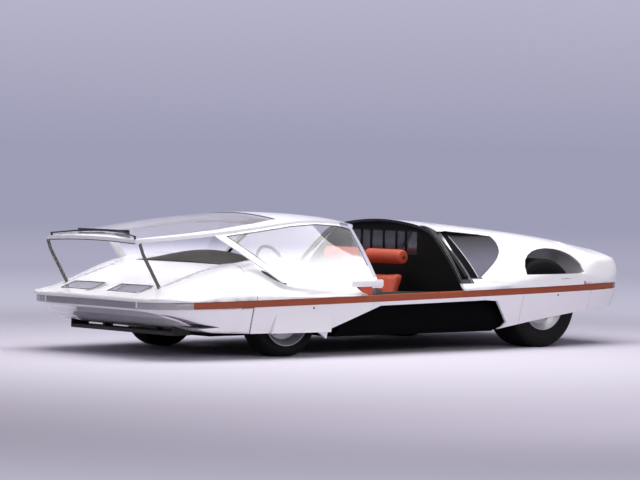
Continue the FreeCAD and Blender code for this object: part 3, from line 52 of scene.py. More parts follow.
# The floor's tones paint a pool of light: pale near the car and darker further out. Past LIT_REACH the
# floor glows in these tones for camera and gloss rays, in place of taking light.
PAINTED_POOL_TONES = ((1.5, (0.61, 0.585, 0.675, 1)), (4.2, (0.56, 0.53, 0.64, 1)), (9.0, (0.52, 0.505, 0.63, 1)),
               (18.0, (0.40, 0.395, 0.52, 1)), (FLOOR_REACH, (0.34, 0.34, 0.47, 1)))
FAR_FLOOR = PAINTED_POOL_TONES[-1][1]
HIGH_BACKDROP = (0.50, 0.485, 0.63, 1)
SKY_TOP = (1.15, 1.15, 1.15, 1)
HORIZON_END, SKY_TOP_FROM = 0.06, 0.75
AMBIENT_TONE, AMBIENT_STRENGTH = (0.95, 0.94, 1.0, 1), 0.30
floor_bm = bmesh.new()
bmesh.ops.create_circle(floor_bm, cap_ends=True, segments=96, radius=FLOOR_RADIUS)
floor_mesh = bpy.data.meshes.new("studio_floor")
floor_bm.to_mesh(floor_mesh)
floor_bm.free()
studio_floor = bpy.data.objects.new("studio_floor", floor_mesh)
bpy.context.scene.collection.objects.link(studio_floor)


def seen_directly(tree):
    """1 for camera, mirror and glass rays, 0 for the light that falls on the object."""
    path = tree.nodes.new("ShaderNodeLightPath")
    first = tree.nodes.new("ShaderNodeMath")
    first.operation = "MAXIMUM"
    tree.links.new(path.outputs["Is Camera Ray"], first.inputs[0])
    tree.links.new(path.outputs["Is Glossy Ray"], first.inputs[1])
    second = tree.nodes.new("ShaderNodeMath")
    second.operation = "MAXIMUM"
    tree.links.new(first.outputs[0], second.inputs[0])
    tree.links.new(path.outputs["Is Transmission Ray"], second.inputs[1])
    return second.outputs[0]


def eased_share(tree, value, start, end):
    """A value turned into a share: 0 at start, 1 at end, eased between them."""
    rise = tree.nodes.new("ShaderNodeMapRange")
    rise.interpolation_type = "SMOOTHSTEP"
    rise.inputs["From Min"].default_value = start
    rise.inputs["From Max"].default_value = end
    tree.links.new(value, rise.inputs["Value"])
    return rise.outputs["Result"]


def place_along(tree, axis, kind="Object"):
    """One coordinate of the place being shaded."""
    place = tree.nodes.new("ShaderNodeTexCoord")
    split = tree.nodes.new("ShaderNodeSeparateXYZ")
    tree.links.new(place.outputs[kind], split.inputs[0])
    return split.outputs[axis]


floor_look = bpy.data.materials.new("studio_floor")
floor_look.use_nodes = True
tree = floor_look.node_tree
tree.nodes.clear()
place = tree.nodes.new("ShaderNodeTexCoord")
away = tree.nodes.new("ShaderNodeVectorMath")
away.operation = "DISTANCE"
away.inputs[1].default_value = FLOOR_MIDDLE
tree.links.new(place.outputs["Object"], away.inputs[0])
spread = tree.nodes.new("ShaderNodeMapRange")
spread.inputs["From Max"].default_value = FLOOR_REACH
tree.links.new(away.outputs["Value"], spread.inputs["Value"])
ramp = tree.nodes.new("ShaderNodeValToRGB")
ramp.color_ramp.interpolation = "EASE"
ramp.color_ramp.elements.remove(ramp.color_ramp.elements[1])
for number, (reach, tone) in enumerate(PAINTED_POOL_TONES):
    stop = ramp.color_ramp.elements[0] if number == 0 else ramp.color_ramp.elements.new(reach / FLOOR_REACH)
    stop.position = reach / FLOOR_REACH
    stop.color = tone
tree.links.new(spread.outputs["Result"], ramp.inputs["Fac"])
lit = tree.nodes.new("ShaderNodeBsdfDiffuse")
tree.links.new(ramp.outputs["Color"], lit.inputs["Color"])
glow = tree.nodes.new("ShaderNodeEmission")
tree.links.new(ramp.outputs["Color"], glow.inputs["Color"])
share = tree.nodes.new("ShaderNodeMath")
share.operation = "MULTIPLY"
tree.links.new(eased_share(tree, away.outputs["Value"], LIT_REACH, GLOW_REACH), share.inputs[0])
tree.links.new(seen_directly(tree), share.inputs[1])
mixed = tree.nodes.new("ShaderNodeMixShader")
tree.links.new(share.outputs[0], mixed.inputs["Fac"])
tree.links.new(lit.outputs[0], mixed.inputs[1])
tree.links.new(glow.outputs[0], mixed.inputs[2])
out = tree.nodes.new("ShaderNodeOutputMaterial")
tree.links.new(mixed.outputs[0], out.inputs["Surface"])
floor_mesh.materials.append(floor_look)

world = bpy.data.worlds.new("studio")
bpy.context.scene.world = world
world.use_nodes = True
tree = world.node_tree
tree.nodes.clear()
sky_ramp = tree.nodes.new("ShaderNodeValToRGB")
sky_ramp.color_ramp.elements[0].color = FAR_FLOOR
sky_ramp.color_ramp.elements[1].position = HORIZON_END
sky_ramp.color_ramp.elements[1].color = HIGH_BACKDROP
top = sky_ramp.color_ramp.elements.new(SKY_TOP_FROM)
top.color = SKY_TOP
tree.links.new(place_along(tree, "Z", "Generated"), sky_ramp.inputs["Fac"])
backdrop = tree.nodes.new("ShaderNodeBackground")
tree.links.new(sky_ramp.outputs["Color"], backdrop.inputs["Color"])
ambient = tree.nodes.new("ShaderNodeBackground")
ambient.inputs["Color"].default_value = AMBIENT_TONE
ambient.inputs["Strength"].default_value = AMBIENT_STRENGTH
chosen = tree.nodes.new("ShaderNodeMixShader")
tree.links.new(seen_directly(tree), chosen.inputs["Fac"])
tree.links.new(ambient.outputs[0], chosen.inputs[1])
tree.links.new(backdrop.outputs[0], chosen.inputs[2])
sky_out = tree.nodes.new("ShaderNodeOutputWorld")
tree.links.new(chosen.outputs[0], sky_out.inputs["Surface"])


def studio_lamp(name, spot, aim, width, depth, power, colour):
    """A soft box hung at a spot and turned to face what it lights."""
    data = bpy.data.lights.new(name, "AREA")
    data.shape = "RECTANGLE"
    data.size, data.size_y = width, depth
    data.energy = power
    data.color = colour
    lamp = bpy.data.objects.new(name, data)
    lamp.location = spot
    lamp.rotation_mode = "QUATERNION"
    lamp.rotation_quaternion = (Vector(aim) - Vector(spot)).to_track_quat("-Z", "Y")
    bpy.context.scene.collection.objects.link(lamp)


studio_lamp("overhead_softbox", (0.3, 0.6, 5.0), (0, 0, 0), 8.0, 4.5, 415.0, (1.0, 0.985, 0.97))
studio_lamp("side_softbox", (2.5, 7.5, 3.4), (0, 0, 0.5), 6.0, 2.5, 145.0, (1.0, 0.97, 0.98))

# Camera: a long lens from ahead of the left front corner, a little above the roof.
# Its place and turn are the photograph's own, fitted to the car's known lengths.
CAMERA_SPOT = (15.0512, 17.6538, 1.4712)
LENS_MM, SENSOR_MM = 175.43, 36.0
FAR_CLIP = 900.0
YAW, PITCH, ROLL = -2.2722, -0.0295, 0.0134
ahead = Vector((math.cos(PITCH) * math.cos(YAW), math.cos(PITCH) * math.sin(YAW), math.sin(PITCH)))
level = Vector((math.sin(YAW), -math.cos(YAW), 0))
upward = level.cross(ahead)
right = math.cos(ROLL) * level + math.sin(ROLL) * upward
above = math.cos(ROLL) * upward - math.sin(ROLL) * level
camera_data = bpy.data.cameras.new("camera")
camera_data.lens, camera_data.sensor_width = LENS_MM, SENSOR_MM
camera_data.clip_end = FAR_CLIP
camera = bpy.data.objects.new("camera", camera_data)
camera.matrix_world = Matrix.Translation(CAMERA_SPOT) @ Matrix(
    (right, above, -ahead)).transposed().to_4x4()
bpy.context.scene.collection.objects.link(camera)
bpy.context.scene.camera = camera
bpy.context.scene.view_settings.view_transform = "Standard"

# Body shells: hand-beaten panels filled, flatted and sprayed gloss white over primer.
# The paint is a shade of cool white with a faint orange peel under a clear coat.


def grain_effect():
    """Shared group: cloudy colour, uneven gloss and a fine surface, from the object's own place."""
    group = bpy.data.node_groups.new("surface_grain", "ShaderNodeTree")
    for label, kind in (("Colour", "Color"), ("Second colour", "Color"), ("Cloud scale", "Float"),
                        ("Grain scale", "Float"), ("Roughness", "Float"), ("Spread", "Float")):
        group.interface.new_socket(label, in_out="INPUT", socket_type="NodeSocket" + kind)
    for label, kind in (("Colour", "Color"), ("Roughness", "Float"), ("Height", "Float")):
        group.interface.new_socket(label, in_out="OUTPUT", socket_type="NodeSocket" + kind)
    given = group.nodes.new("NodeGroupInput")
    result = group.nodes.new("NodeGroupOutput")
    spot = group.nodes.new("ShaderNodeTexCoord")
    cloud = group.nodes.new("ShaderNodeTexNoise")
    cloud.inputs["Detail"].default_value = 5.0
    grain = group.nodes.new("ShaderNodeTexNoise")
    grain.inputs["Detail"].default_value = 3.0
    for texture, scale in ((cloud, "Cloud scale"), (grain, "Grain scale")):
        group.links.new(spot.outputs["Object"], texture.inputs["Vector"])
        group.links.new(given.outputs[scale], texture.inputs["Scale"])
    blend = group.nodes.new("ShaderNodeMix")
    blend.data_type = "RGBA"
    group.links.new(cloud.outputs["Fac"], blend.inputs[0])
    group.links.new(given.outputs["Colour"], blend.inputs[6])
    group.links.new(given.outputs["Second colour"], blend.inputs[7])
    group.links.new(blend.outputs[2], result.inputs["Colour"])
    swing = group.nodes.new("ShaderNodeMath")
    swing.operation = "MULTIPLY_ADD"
    group.links.new(cloud.outputs["Fac"], swing.inputs[0])
    group.links.new(given.outputs["Spread"], swing.inputs[1])
    group.links.new(given.outputs["Roughness"], swing.inputs[2])
    group.links.new(swing.outputs[0], result.inputs["Roughness"])
    group.links.new(grain.outputs["Fac"], result.inputs["Height"])
    return group


surface_grain = grain_effect()


def finish_of(name, colour, second, rough, spread=0.06, cloud=3.0, grain=300.0, bump=0.05,
              depth=0.0005, **plain):
    """A finish from the shared grain; plain holds what is the same all over the surface."""
    look = bpy.data.materials.new(name)
    look.use_nodes = True
    links, shader = look.node_tree.links, look.node_tree.nodes["Principled BSDF"]
    effect = look.node_tree.nodes.new("ShaderNodeGroup")
    effect.node_tree = surface_grain
    effect.name = "grain"
    effect.inputs["Colour"].default_value = (*colour, 1)
    effect.inputs["Second colour"].default_value = (*second, 1)
    effect.inputs["Cloud scale"].default_value = cloud
    effect.inputs["Grain scale"].default_value = grain
    effect.inputs["Roughness"].default_value = rough
    effect.inputs["Spread"].default_value = spread
    links.new(effect.outputs["Colour"], shader.inputs["Base Color"])
    links.new(effect.outputs["Roughness"], shader.inputs["Roughness"])
    relief = look.node_tree.nodes.new("ShaderNodeBump")
    relief.name = "relief"
    relief.inputs["Strength"].default_value = bump
    relief.inputs["Distance"].default_value = depth
    links.new(effect.outputs["Height"], relief.inputs["Height"])
    links.new(relief.outputs["Normal"], shader.inputs["Normal"])
    for socket, value in plain.items():
        shader.inputs[socket.replace("_", " ")].default_value = value
    return look


def dress(look, *names):
    """Give a finish to whole CAD pieces through their material slots."""
    for name in names:
        for holder in nodes[name].material_slots:
            holder.material = look


gloss_white = finish_of("gloss_white", (0.86, 0.855, 0.875), (0.84, 0.83, 0.86), 0.16, spread=0.05,
                        cloud=1.5, grain=220.0, bump=0.02, Coat_Weight=0.7, Coat_Roughness=0.04)
# The lower panels take the same paint a little darker and greyer: painted shade for the sides that lean in
# under the belt.
lower_white_shaded = finish_of("lower_white_shaded", (0.85, 0.83, 0.865), (0.82, 0.80, 0.85), 0.20, spread=0.06,
                        cloud=2.0, grain=220.0, bump=0.02, Coat_Weight=0.6, Coat_Roughness=0.05)
dress(gloss_white, "canopy_frame")
dress(lower_white_shaded, "front_skirts", "sills", "rear_skirts", "lower_tail")


SHARP_ANGLE = 35.0
WELD = 0.00001
OUTSIDE = 3.0                   # clear of the car on every side, where a measuring ray starts


def add_piece(name, shape, look, body, smooth=True):
    """Turn a finished bmesh into a piece that rides on a body."""
    mesh = bpy.data.meshes.new(name)
    shape.to_mesh(mesh)
    shape.free()
    mesh.materials.append(look)
    for face in mesh.polygons:
        face.use_smooth = smooth
    piece = bpy.data.objects.new(name, mesh)
    bpy.context.scene.collection.objects.link(piece)
    if smooth:
        mesh.set_sharp_from_angle(angle=math.radians(SHARP_ANGLE))
    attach(piece, body)
    return piece


def merged_copy(node):
    """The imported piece's mesh as a bmesh, its loose triangles joined at their corners."""
    shape = bmesh.new()
    shape.from_mesh(nodes[node].data)
    bmesh.ops.remove_doubles(shape, verts=shape.verts[:], dist=WELD)
    return shape


def eased(value, start, end):
    """0 before start, 1 past end, and a smooth rise between them."""
    share = min(1.0, max(0.0, (value - start) / (end - start)))
    return share * share * (3 - 2 * share)


def skin_of(node):
    """A packed shell's surface, ready to be measured."""
    shape = merged_copy(node)
    skin = BVHTree.FromBMesh(shape)
    shape.free()
    return skin


def half_width(skin, x, height, least=0.0):
    """How far out a shell reaches at a station along the car, at one height."""
    spot = skin.ray_cast(Vector((x, OUTSIDE, height)), Vector((0, -1, 0)))[0]
    return max(spot.y, least) if spot else least


nose_skin = skin_of("nose_shell")
rear_skin = skin_of("rear_shell")
LONGEST_EDGE, FEW_FACES = 0.03, 2000
LEAST_MOVE, DIVIDE_ROUNDS = 0.001, 4


def reshaped(node, look, move):
    """A shell drawn out to the panel beater's fuller line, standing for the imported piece."""
    shape = merged_copy(node)
    for _ in range(DIVIDE_ROUNDS):
        simple = len(nodes[node].data.polygons) < FEW_FACES
        long_edges = [e for e in shape.edges if e.calc_length() > LONGEST_EDGE
                      and (simple or (move(e.verts[0].co) - e.verts[0].co).length
                           + (move(e.verts[1].co) - e.verts[1].co).length > LEAST_MOVE)]
        bmesh.ops.subdivide_edges(shape, edges=long_edges, cuts=1)
        bmesh.ops.triangulate(shape, faces=shape.faces[:])
    for vert in shape.verts:
        vert.co = move(vert.co)
    piece = add_piece(node + "_panel", shape, look, "chassis")
    evened = piece.modifiers.new("evened", "WEIGHTED_NORMAL")
    evened.keep_sharp = True
    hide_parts(node)
    return piece


LAST_STATION = 2.235            # just inside both ends, where a shell can still be measured
CORNER_GAIN, CORNER_START, CORNER_LENGTH, CORNER_POWER = 0.125, 1.75, 0.44, 3
CORNER_INNER, INNER_PULL, PULL_START, PULL_END = 0.56, 0.11, 2.05, 2.18
PROW_HEIGHT, PROW_THIN, PROW_START, PROW_END = 0.351, 0.40, 1.85, 2.15
TAIL_GAIN, TAIL_START, TAIL_FULL = 0.115, 1.62, 1.88
TAIL_FOOT, LIFT_START, LIFT_FULL = 0.47, 0.492, 0.57
EDGE_POWER, POWER_DROP, DROP_START, DROP_END = 10, 6.5, 1.80, 2.17
NOSE_LEVEL, TAIL_LEVEL = 0.42, 0.49
NOSE_LEAST, TAIL_LEAST = 0.51, 0.70


def fuller_corner(spot):
    """The nose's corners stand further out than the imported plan, square to the prow."""
    if spot.x < CORNER_START:
        return spot
    gain = CORNER_GAIN * min(1.0, (spot.x - CORNER_START) / CORNER_LENGTH) ** CORNER_POWER
    outer = half_width(nose_skin, min(spot.x, LAST_STATION), NOSE_LEVEL, NOSE_LEAST)
    start = CORNER_INNER - INNER_PULL * eased(spot.x, PULL_START, PULL_END)
    share = eased(abs(spot.y), start, outer)
    return Vector((spot.x, spot.y + math.copysign(gain * share, spot.y), spot.z))


def fuller_tail(spot):
    """The tail's flanks stay high to the end, so that it is blunt and not pointed."""
    if spot.x > -TAIL_START or spot.z < TAIL_FOOT:
        return spot
    outer = half_width(rear_skin, max(spot.x, -LAST_STATION), TAIL_LEVEL, TAIL_LEAST)
    power = EDGE_POWER - POWER_DROP * eased(-spot.x, DROP_START, DROP_END)
    gain = TAIL_GAIN * eased(-spot.x, TAIL_START, TAIL_FULL) * min(1.0, abs(spot.y) / outer) ** power
    return Vector((spot.x, spot.y, spot.z + gain * eased(spot.z, LIFT_START, LIFT_FULL)))


def thin_prow(spot):
    """The prow's underside rises to the lens, and its corners follow the nose above."""
    drop = PROW_HEIGHT - spot.z
    if drop > 0:
        kept = 1 - PROW_THIN * eased(spot.x, PROW_START, PROW_END)
        spot = Vector((spot.x, spot.y, PROW_HEIGHT - drop * kept))
    return fuller_corner(spot)


nose_panel = reshaped("nose_shell", gloss_white, fuller_corner)
rear_panel = reshaped("rear_shell", gloss_white, fuller_tail)
lower_panel = reshaped("lower_front", lower_white_shaded, thin_prow)

# Side patches: the panel behind each side scoop and the flank below each wheel window.
# Each is a beaten sheet whose curve runs between the shell's own sections at its two ends.
FLANK_FROM, FLANK_TO = -0.97, -1.66
FLANK_HIGH, FLANK_LEVEL = 0.514, 0.522
BELT_TOP, BELT_RISE, HALF_LENGTH = 0.399, 0.080, 2.24
SKIN_STAND, SHEET = 0.0015, 0.008
LINER_STAND, FAIRING_SHEET = 0.004, 0.018
EDGE_POINTS = 25
SCOOP_FRONT_SECTION, SCOOP_BACK_SECTION = -0.462, -1.075


def laid_sheet(name, place, steps, look, body="chassis", thickness=SHEET):
    """A curved sheet on the left side and its mirror on the right; place(u, v) gives its points."""
    shape = bmesh.new()
    bmesh.ops.create_grid(shape, x_segments=steps[0], y_segments=steps[1], size=0.5)
    for vert in shape.verts:
        vert.co = place(vert.co.x + 0.5, vert.co.y + 0.5)
    back = bmesh.ops.extrude_face_region(shape, geom=shape.faces[:])["geom"]
    bmesh.ops.translate(shape, verts=[v for v in back if isinstance(v, bmesh.types.BMVert)],
                        vec=(0, -thickness, 0))
    bmesh.ops.mirror(shape, geom=shape.verts[:] + shape.edges[:] + shape.faces[:], axis="Y", merge_dist=-1)
    bmesh.ops.recalc_face_normals(shape, faces=shape.faces[:])
    return add_piece(name, shape, look, body)


def flank_point(u, v):
    """The flank rises from the belt's sloping top edge to the foot of the wheel window."""
    x = FLANK_FROM + u * (FLANK_TO - FLANK_FROM)
    low = BELT_TOP + BELT_RISE * (HALF_LENGTH - x) / (2 * HALF_LENGTH)
    return Vector((x, half_width(rear_skin, x, FLANK_LEVEL) + SKIN_STAND, low + v * (FLANK_HIGH - low)))


scoop_edge = geometry.interpolate_bezier(Vector((-0.985, 0, 0.845)), Vector((-1.00, 0, 0.72)),
                                         Vector((-0.83, 0, 0.64)), Vector((-0.60, 0, 0.508)), EDGE_POINTS)
shell_edge = geometry.interpolate_bezier(Vector((-1.03, 0, 0.856)), Vector((-1.11, 0, 0.74)),
                                         Vector((-1.08, 0, 0.56)), Vector((-0.90, 0, 0.500)), EDGE_POINTS)
liner_skin = skin_of("scoop_liners")


def fairing_point(u, v):
    """The fairing stands proud of the shell's line, of the shell itself and of the liner."""
    step = round(u * (EDGE_POINTS - 1))
    near, far = scoop_edge[step], shell_edge[step]
    x = near.x + v * (far.x - near.x)
    z = near.z + v * (far.z - near.z)
    front = half_width(rear_skin, SCOOP_FRONT_SECTION, z)
    back = half_width(rear_skin, SCOOP_BACK_SECTION, z)
    share = (x - SCOOP_FRONT_SECTION) / (SCOOP_BACK_SECTION - SCOOP_FRONT_SECTION)
    laid = front + share * (back - front) + 2 * SKIN_STAND
    shell = half_width(rear_skin, x, z) + 2 * SKIN_STAND
    return Vector((x, max(laid, shell, half_width(liner_skin, x, z) + LINER_STAND), z))


laid_sheet("flank_panels", flank_point, (24, 2), gloss_white)
laid_sheet("scoop_fairings", fairing_point, (24, 6), gloss_white, thickness=FAIRING_SHEET)

# Door posts: the strip of shell behind the opening is lacquered black between two bright trims.
# The lacquer and the trims are thin skins, cut from the shell's own surface and pressed on it.
post_black = finish_of("post_black", (0.003, 0.003, 0.004), (0.006, 0.006, 0.007), 0.22, spread=0.1,
                       cloud=4.0, grain=300.0, Coat_Weight=0.2, Specular_IOR_Level=0.3)
post_matt = finish_of("post_matt", (0.0015, 0.0015, 0.0018), (0.003, 0.003, 0.0035), 0.6, spread=0.1,
                      cloud=4.0, grain=300.0, Specular_IOR_Level=0.04)
bright_trim = finish_of("bright_trim", (0.30, 0.295, 0.35), (0.22, 0.215, 0.26), 0.30, spread=0.1,
                        cloud=9.0, grain=300.0, Metallic=0.9)
POST_TOP_Y, POST_FOOT = 0.45, 0.497
POST_FACE, POST_TRIM, POST_REAR = -0.47, -0.484, -0.504
POST_BACK, POST_BACK_FOOT, POST_HEAD = -0.62, 0.53, 0.83
TRIM_WIDTH, TRIM_STAND, BACK_TRIM_STAND = 0.006, 0.003, 0.002
EDGE_SHARE = 1.4
BODY_MIDDLE = Vector((0, 0, 0.45))
LEAST_FACING = 0.25


def ahead_of(x):
    """A cut that keeps what lies ahead of a station. The five below work the same way."""
    return (x, 0, 0), (-1, 0, 0)


def behind(x):
    return (x, 0, 0), (1, 0, 0)


def over(z):
    return (0, 0, z), (0, 0, -1)


def under(z):
    return (0, 0, z), (0, 0, 1)


def beyond(y, sign):
    return (0, sign * y, 0), (0, -sign, 0)


def within(y, sign):
    return (0, sign * y, 0), (0, sign, 0)


def pressed_skin(name, source, cuts, look, body="chassis", lift=0.0015, thickness=0.0015,
                 outward=True, toward=None):
    """A thin skin taken from a shell's outer or inner side, and trimmed by cuts."""
    shape = bmesh.new()
    shape.from_mesh(source.data)
    wrong = []
    for face in shape.faces:
        centre = face.calc_center_median()
        away = (Vector((0, centre.y, centre.z)) - BODY_MIDDLE).normalized()
        facing = face.normal.dot(toward if toward else away)
        if (facing if outward else -facing) < LEAST_FACING:
            wrong.append(face)
    bmesh.ops.delete(shape, geom=wrong, context="FACES")
    for spot, normal in cuts:
        bmesh.ops.bisect_plane(shape, geom=shape.verts[:] + shape.edges[:] + shape.faces[:],
                               plane_co=spot, plane_no=normal, clear_outer=True)
    shape.normal_update()
    for vert in shape.verts:
        vert.co += vert.normal * (lift + thickness)
    bmesh.ops.solidify(shape, geom=shape.faces[:], thickness=thickness)
    bmesh.ops.recalc_face_normals(shape, faces=shape.faces[:])
    return add_piece(name, shape, look, body)


EDGE_LINE = Vector((0.987, 0, 0.160))
EDGE_SPOT = Vector((-0.450, 0, 0.895))
for sign, hand in ((1, "left"), (-1, "right")):
    post_cuts = (beyond(POST_TOP_Y, sign), over(POST_FOOT))
    back_cuts = (beyond(POST_TOP_Y, sign), over(POST_BACK_FOOT), under(POST_HEAD))
    edge_cut = (EDGE_SPOT - EDGE_LINE * EDGE_SHARE * TRIM_WIDTH, -EDGE_LINE)
    pressed_skin("post_skin_" + hand, rear_panel, (*post_cuts, ahead_of(POST_REAR)), post_black)
    pressed_skin("post_face_" + hand, rear_panel, (*post_cuts, ahead_of(POST_FACE)), post_black,
                 toward=Vector((1, 0, 0)))
    pressed_skin("post_trim_" + hand, rear_panel, (
        *post_cuts, ahead_of(POST_TRIM), behind(POST_TRIM + TRIM_WIDTH)), bright_trim,
        lift=TRIM_STAND, thickness=TRIM_STAND)
    pressed_skin("post_back_" + hand, rear_panel, (
        *back_cuts, behind(POST_REAR), ahead_of(POST_BACK)), post_matt)
    pressed_skin("back_trim_" + hand, rear_panel, (
        *back_cuts, behind(POST_BACK), ahead_of(POST_BACK - TRIM_WIDTH)), bright_trim,
        lift=BACK_TRIM_STAND, thickness=BACK_TRIM_STAND)
    pressed_skin("edge_trim_" + hand, rear_panel, (*post_cuts, edge_cut), post_matt,
                 lift=TRIM_STAND, thickness=TRIM_STAND)

# Roof lining: the underside of the roof behind the opening, and its front edge, in the same lacquer.
# Both are thin skins pressed on the shell from below and from ahead.
LINING_FRONT, LINING_LOW, EDGE_LOW = -0.52, 0.70, 0.80
pressed_skin("roof_lining", rear_panel, (ahead_of(LINING_FRONT), over(LINING_LOW)), post_black,
             toward=Vector((0, 0, -1)))
for sign, hand in ((1, "left"), (-1, "right")):
    pressed_skin("roof_edge_" + hand, rear_panel, (
        ahead_of(POST_FACE), over(EDGE_LOW), within(POST_TOP_Y, sign), beyond(0, sign)), post_black,
        toward=Vector((1, 0, 0)))

# Shut lines: narrow dark gaps where the nose and hood panels meet.
# Each is a dark line three millimetres wide, pressed on the shell's surface.
shut_dark = finish_of("shut_dark", (0.09, 0.085, 0.10), (0.12, 0.115, 0.13), 0.6, spread=0.1,
                      cloud=9.0, grain=300.0)
SHUT_WIDTH, SHUT_INNER, SHUT_SHEET, SHUT_LIFT = 0.003, 0.62, 0.0006, 0.0004
SEAMS = (("fender_seams", nose_panel, 1.492), ("nose_seams", lower_panel, 1.506))
for name, source, station in SEAMS:
    for sign, hand in ((1, "left"), (-1, "right")):
        pressed_skin(name + "_" + hand, source, (
            beyond(SHUT_INNER, sign), ahead_of(station), behind(station + SHUT_WIDTH)), shut_dark,
            lift=SHUT_LIFT, thickness=SHUT_SHEET)

# Belt: a recessed satin band that runs right round the car between the two shells.
# Brown-red along the sides, its front stretch is a ribbed lens, paler in the signals at its ends.
belt_red = finish_of("belt_red", (0.34, 0.080, 0.034), (0.27, 0.058, 0.022), 0.42, spread=0.12,
                     cloud=5.0, grain=500.0, bump=0.06, Specular_IOR_Level=0.3)
reshaped("belt_band", belt_red, fuller_corner)
front_lens = finish_of("front_lens", (0.20, 0.185, 0.20), (0.27, 0.255, 0.27), 0.16, spread=0.1,
                       cloud=9.0, grain=260.0, Coat_Weight=0.8, Coat_Roughness=0.03)
tail_lens = finish_of("tail_lens", (0.15, 0.03, 0.02), (0.10, 0.02, 0.012), 0.14, spread=0.06,
                      cloud=9.0, grain=260.0, Coat_Weight=0.8, Coat_Roughness=0.03)
SIGNAL_TONE = (0.36, 0.34, 0.36, 1)
LENS_DIVIDER = 0.538
FRONT_RIBS, TAIL_RIBS = 130.0, 110.0
RIB_STRENGTH, RIB_DEPTH = 0.6, 0.002


def rib_effect():
    """Shared group: fine upright ribs along a lens, the same round the corner as along the front."""
    group = bpy.data.node_groups.new("lens_ribs", "ShaderNodeTree")
    group.interface.new_socket("Ribs per metre", in_out="INPUT", socket_type="NodeSocketFloat")
    group.interface.new_socket("Height", in_out="OUTPUT", socket_type="NodeSocketFloat")
    given = group.nodes.new("NodeGroupInput")
    result = group.nodes.new("NodeGroupOutput")
    along = group.nodes.new("ShaderNodeMath")
    group.links.new(place_along(group, "X"), along.inputs[0])
    group.links.new(place_along(group, "Y"), along.inputs[1])
    count = group.nodes.new("ShaderNodeMath")
    count.operation = "MULTIPLY"
    group.links.new(along.outputs[0], count.inputs[0])
    group.links.new(given.outputs["Ribs per metre"], count.inputs[1])
    wave = group.nodes.new("ShaderNodeMath")
    wave.operation = "PINGPONG"
    wave.inputs[1].default_value = 1.0
    group.links.new(count.outputs[0], wave.inputs[0])
    group.links.new(wave.outputs[0], result.inputs["Height"])
    return group


lens_ribs = rib_effect()
for look, density in ((front_lens, FRONT_RIBS), (tail_lens, TAIL_RIBS)):
    tree = look.node_tree
    ribs = tree.nodes.new("ShaderNodeGroup")
    ribs.node_tree = lens_ribs
    ribs.inputs["Ribs per metre"].default_value = density
    tree.links.new(ribs.outputs["Height"], tree.nodes["relief"].inputs["Height"])
    tree.nodes["relief"].inputs["Strength"].default_value = RIB_STRENGTH
    tree.nodes["relief"].inputs["Distance"].default_value = RIB_DEPTH
tree = front_lens.node_tree
side = tree.nodes.new("ShaderNodeMath")
side.operation = "ABSOLUTE"
tree.links.new(place_along(tree, "Y"), side.inputs[0])
outer = tree.nodes.new("ShaderNodeMath")
outer.operation = "GREATER_THAN"
outer.inputs[1].default_value = LENS_DIVIDER
tree.links.new(side.outputs[0], outer.inputs[0])
signal = tree.nodes.new("ShaderNodeMix")
signal.data_type = "RGBA"
tree.links.new(outer.outputs[0], signal.inputs[0])
tree.links.new(tree.nodes["grain"].outputs["Colour"], signal.inputs[6])
signal.inputs[7].default_value = SIGNAL_TONE
tree.links.new(signal.outputs[2], tree.nodes["Principled BSDF"].inputs["Base Color"])
reshaped("front_lens", front_lens, fuller_corner)
dress(tail_lens, "tail_lamp")


def box_in(shape, low, high):
    """Add a box between two corners to a bmesh and return its vertices."""
    low, high = Vector(low), Vector(high)
    place = Matrix.Translation((low + high) / 2) @ Matrix.Diagonal((*(high - low), 1))
    return bmesh.ops.create_cube(shape, size=1.0, matrix=place)["verts"]


lens_low, lens_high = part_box("front_lens")
DIVIDER_WIDTH, DIVIDER_DEEP, DIVIDER_STAND, DIVIDER_STATION = 0.012, 0.012, 0.004, 0.45
DIVIDER_FOOT, DIVIDER_HEAD, DIVIDER_EASE = 0.008, 0.004, 0.0015
divider_bm = bmesh.new()
for sign in (1, -1):
    level = (lens_low.z + lens_high.z) / 2
    middle = sign * LENS_DIVIDER
    spot = skin_of("front_lens").ray_cast(
        Vector((OUTSIDE, sign * DIVIDER_STATION, level)), Vector((-1, 0, 0)))[0]
    box_in(divider_bm, (spot.x - DIVIDER_DEEP, middle - DIVIDER_WIDTH / 2, lens_low.z + DIVIDER_FOOT),
           (spot.x + DIVIDER_STAND, middle + DIVIDER_WIDTH / 2, lens_high.z - DIVIDER_HEAD))
bmesh.ops.bevel(divider_bm, geom=divider_bm.edges[:], offset=DIVIDER_EASE, segments=2, profile=0.5,
                affect="EDGES", material=-1)
add_piece("lens_dividers", divider_bm, gloss_white, "chassis")

# Head lamps: four polished bowls on the floor of two painted pockets, under flush glass.
# The glass follows the nose and lies in a narrow rubber seal.
polished = finish_of("polished_bowl", (0.86, 0.85, 0.84), (0.74, 0.73, 0.72), 0.07, spread=0.08,
                     cloud=30.0, grain=300.0, bump=0.03, Metallic=1.0)
dress(polished, "lamp_units")


def glass_of(name, tint, rough=0.0, shade=0.8):
    """Clear glass that lets most of the light through to what lies behind it."""
    look = bpy.data.materials.new(name)
    look.use_nodes = True
    tree = look.node_tree
    shader = tree.nodes["Principled BSDF"]
    shader.inputs["Base Color"].default_value = (*tint, 1)
    shader.inputs["Roughness"].default_value = rough
    shader.inputs["IOR"].default_value = 1.45
    shader.inputs["Transmission Weight"].default_value = 1.0
    path = tree.nodes.new("ShaderNodeLightPath")
    keep = tree.nodes.new("ShaderNodeMath")
    keep.operation = "MULTIPLY_ADD"
    keep.inputs[1].default_value = -shade
    keep.inputs[2].default_value = 1.0
    tree.links.new(path.outputs["Is Shadow Ray"], keep.inputs[0])
    tree.links.new(keep.outputs[0], shader.inputs["Alpha"])
    return look


lamp_glass = glass_of("lamp_glass", (0.62, 0.62, 0.68), 0.04, 0.9)
dress(lamp_glass, "lamp_covers")
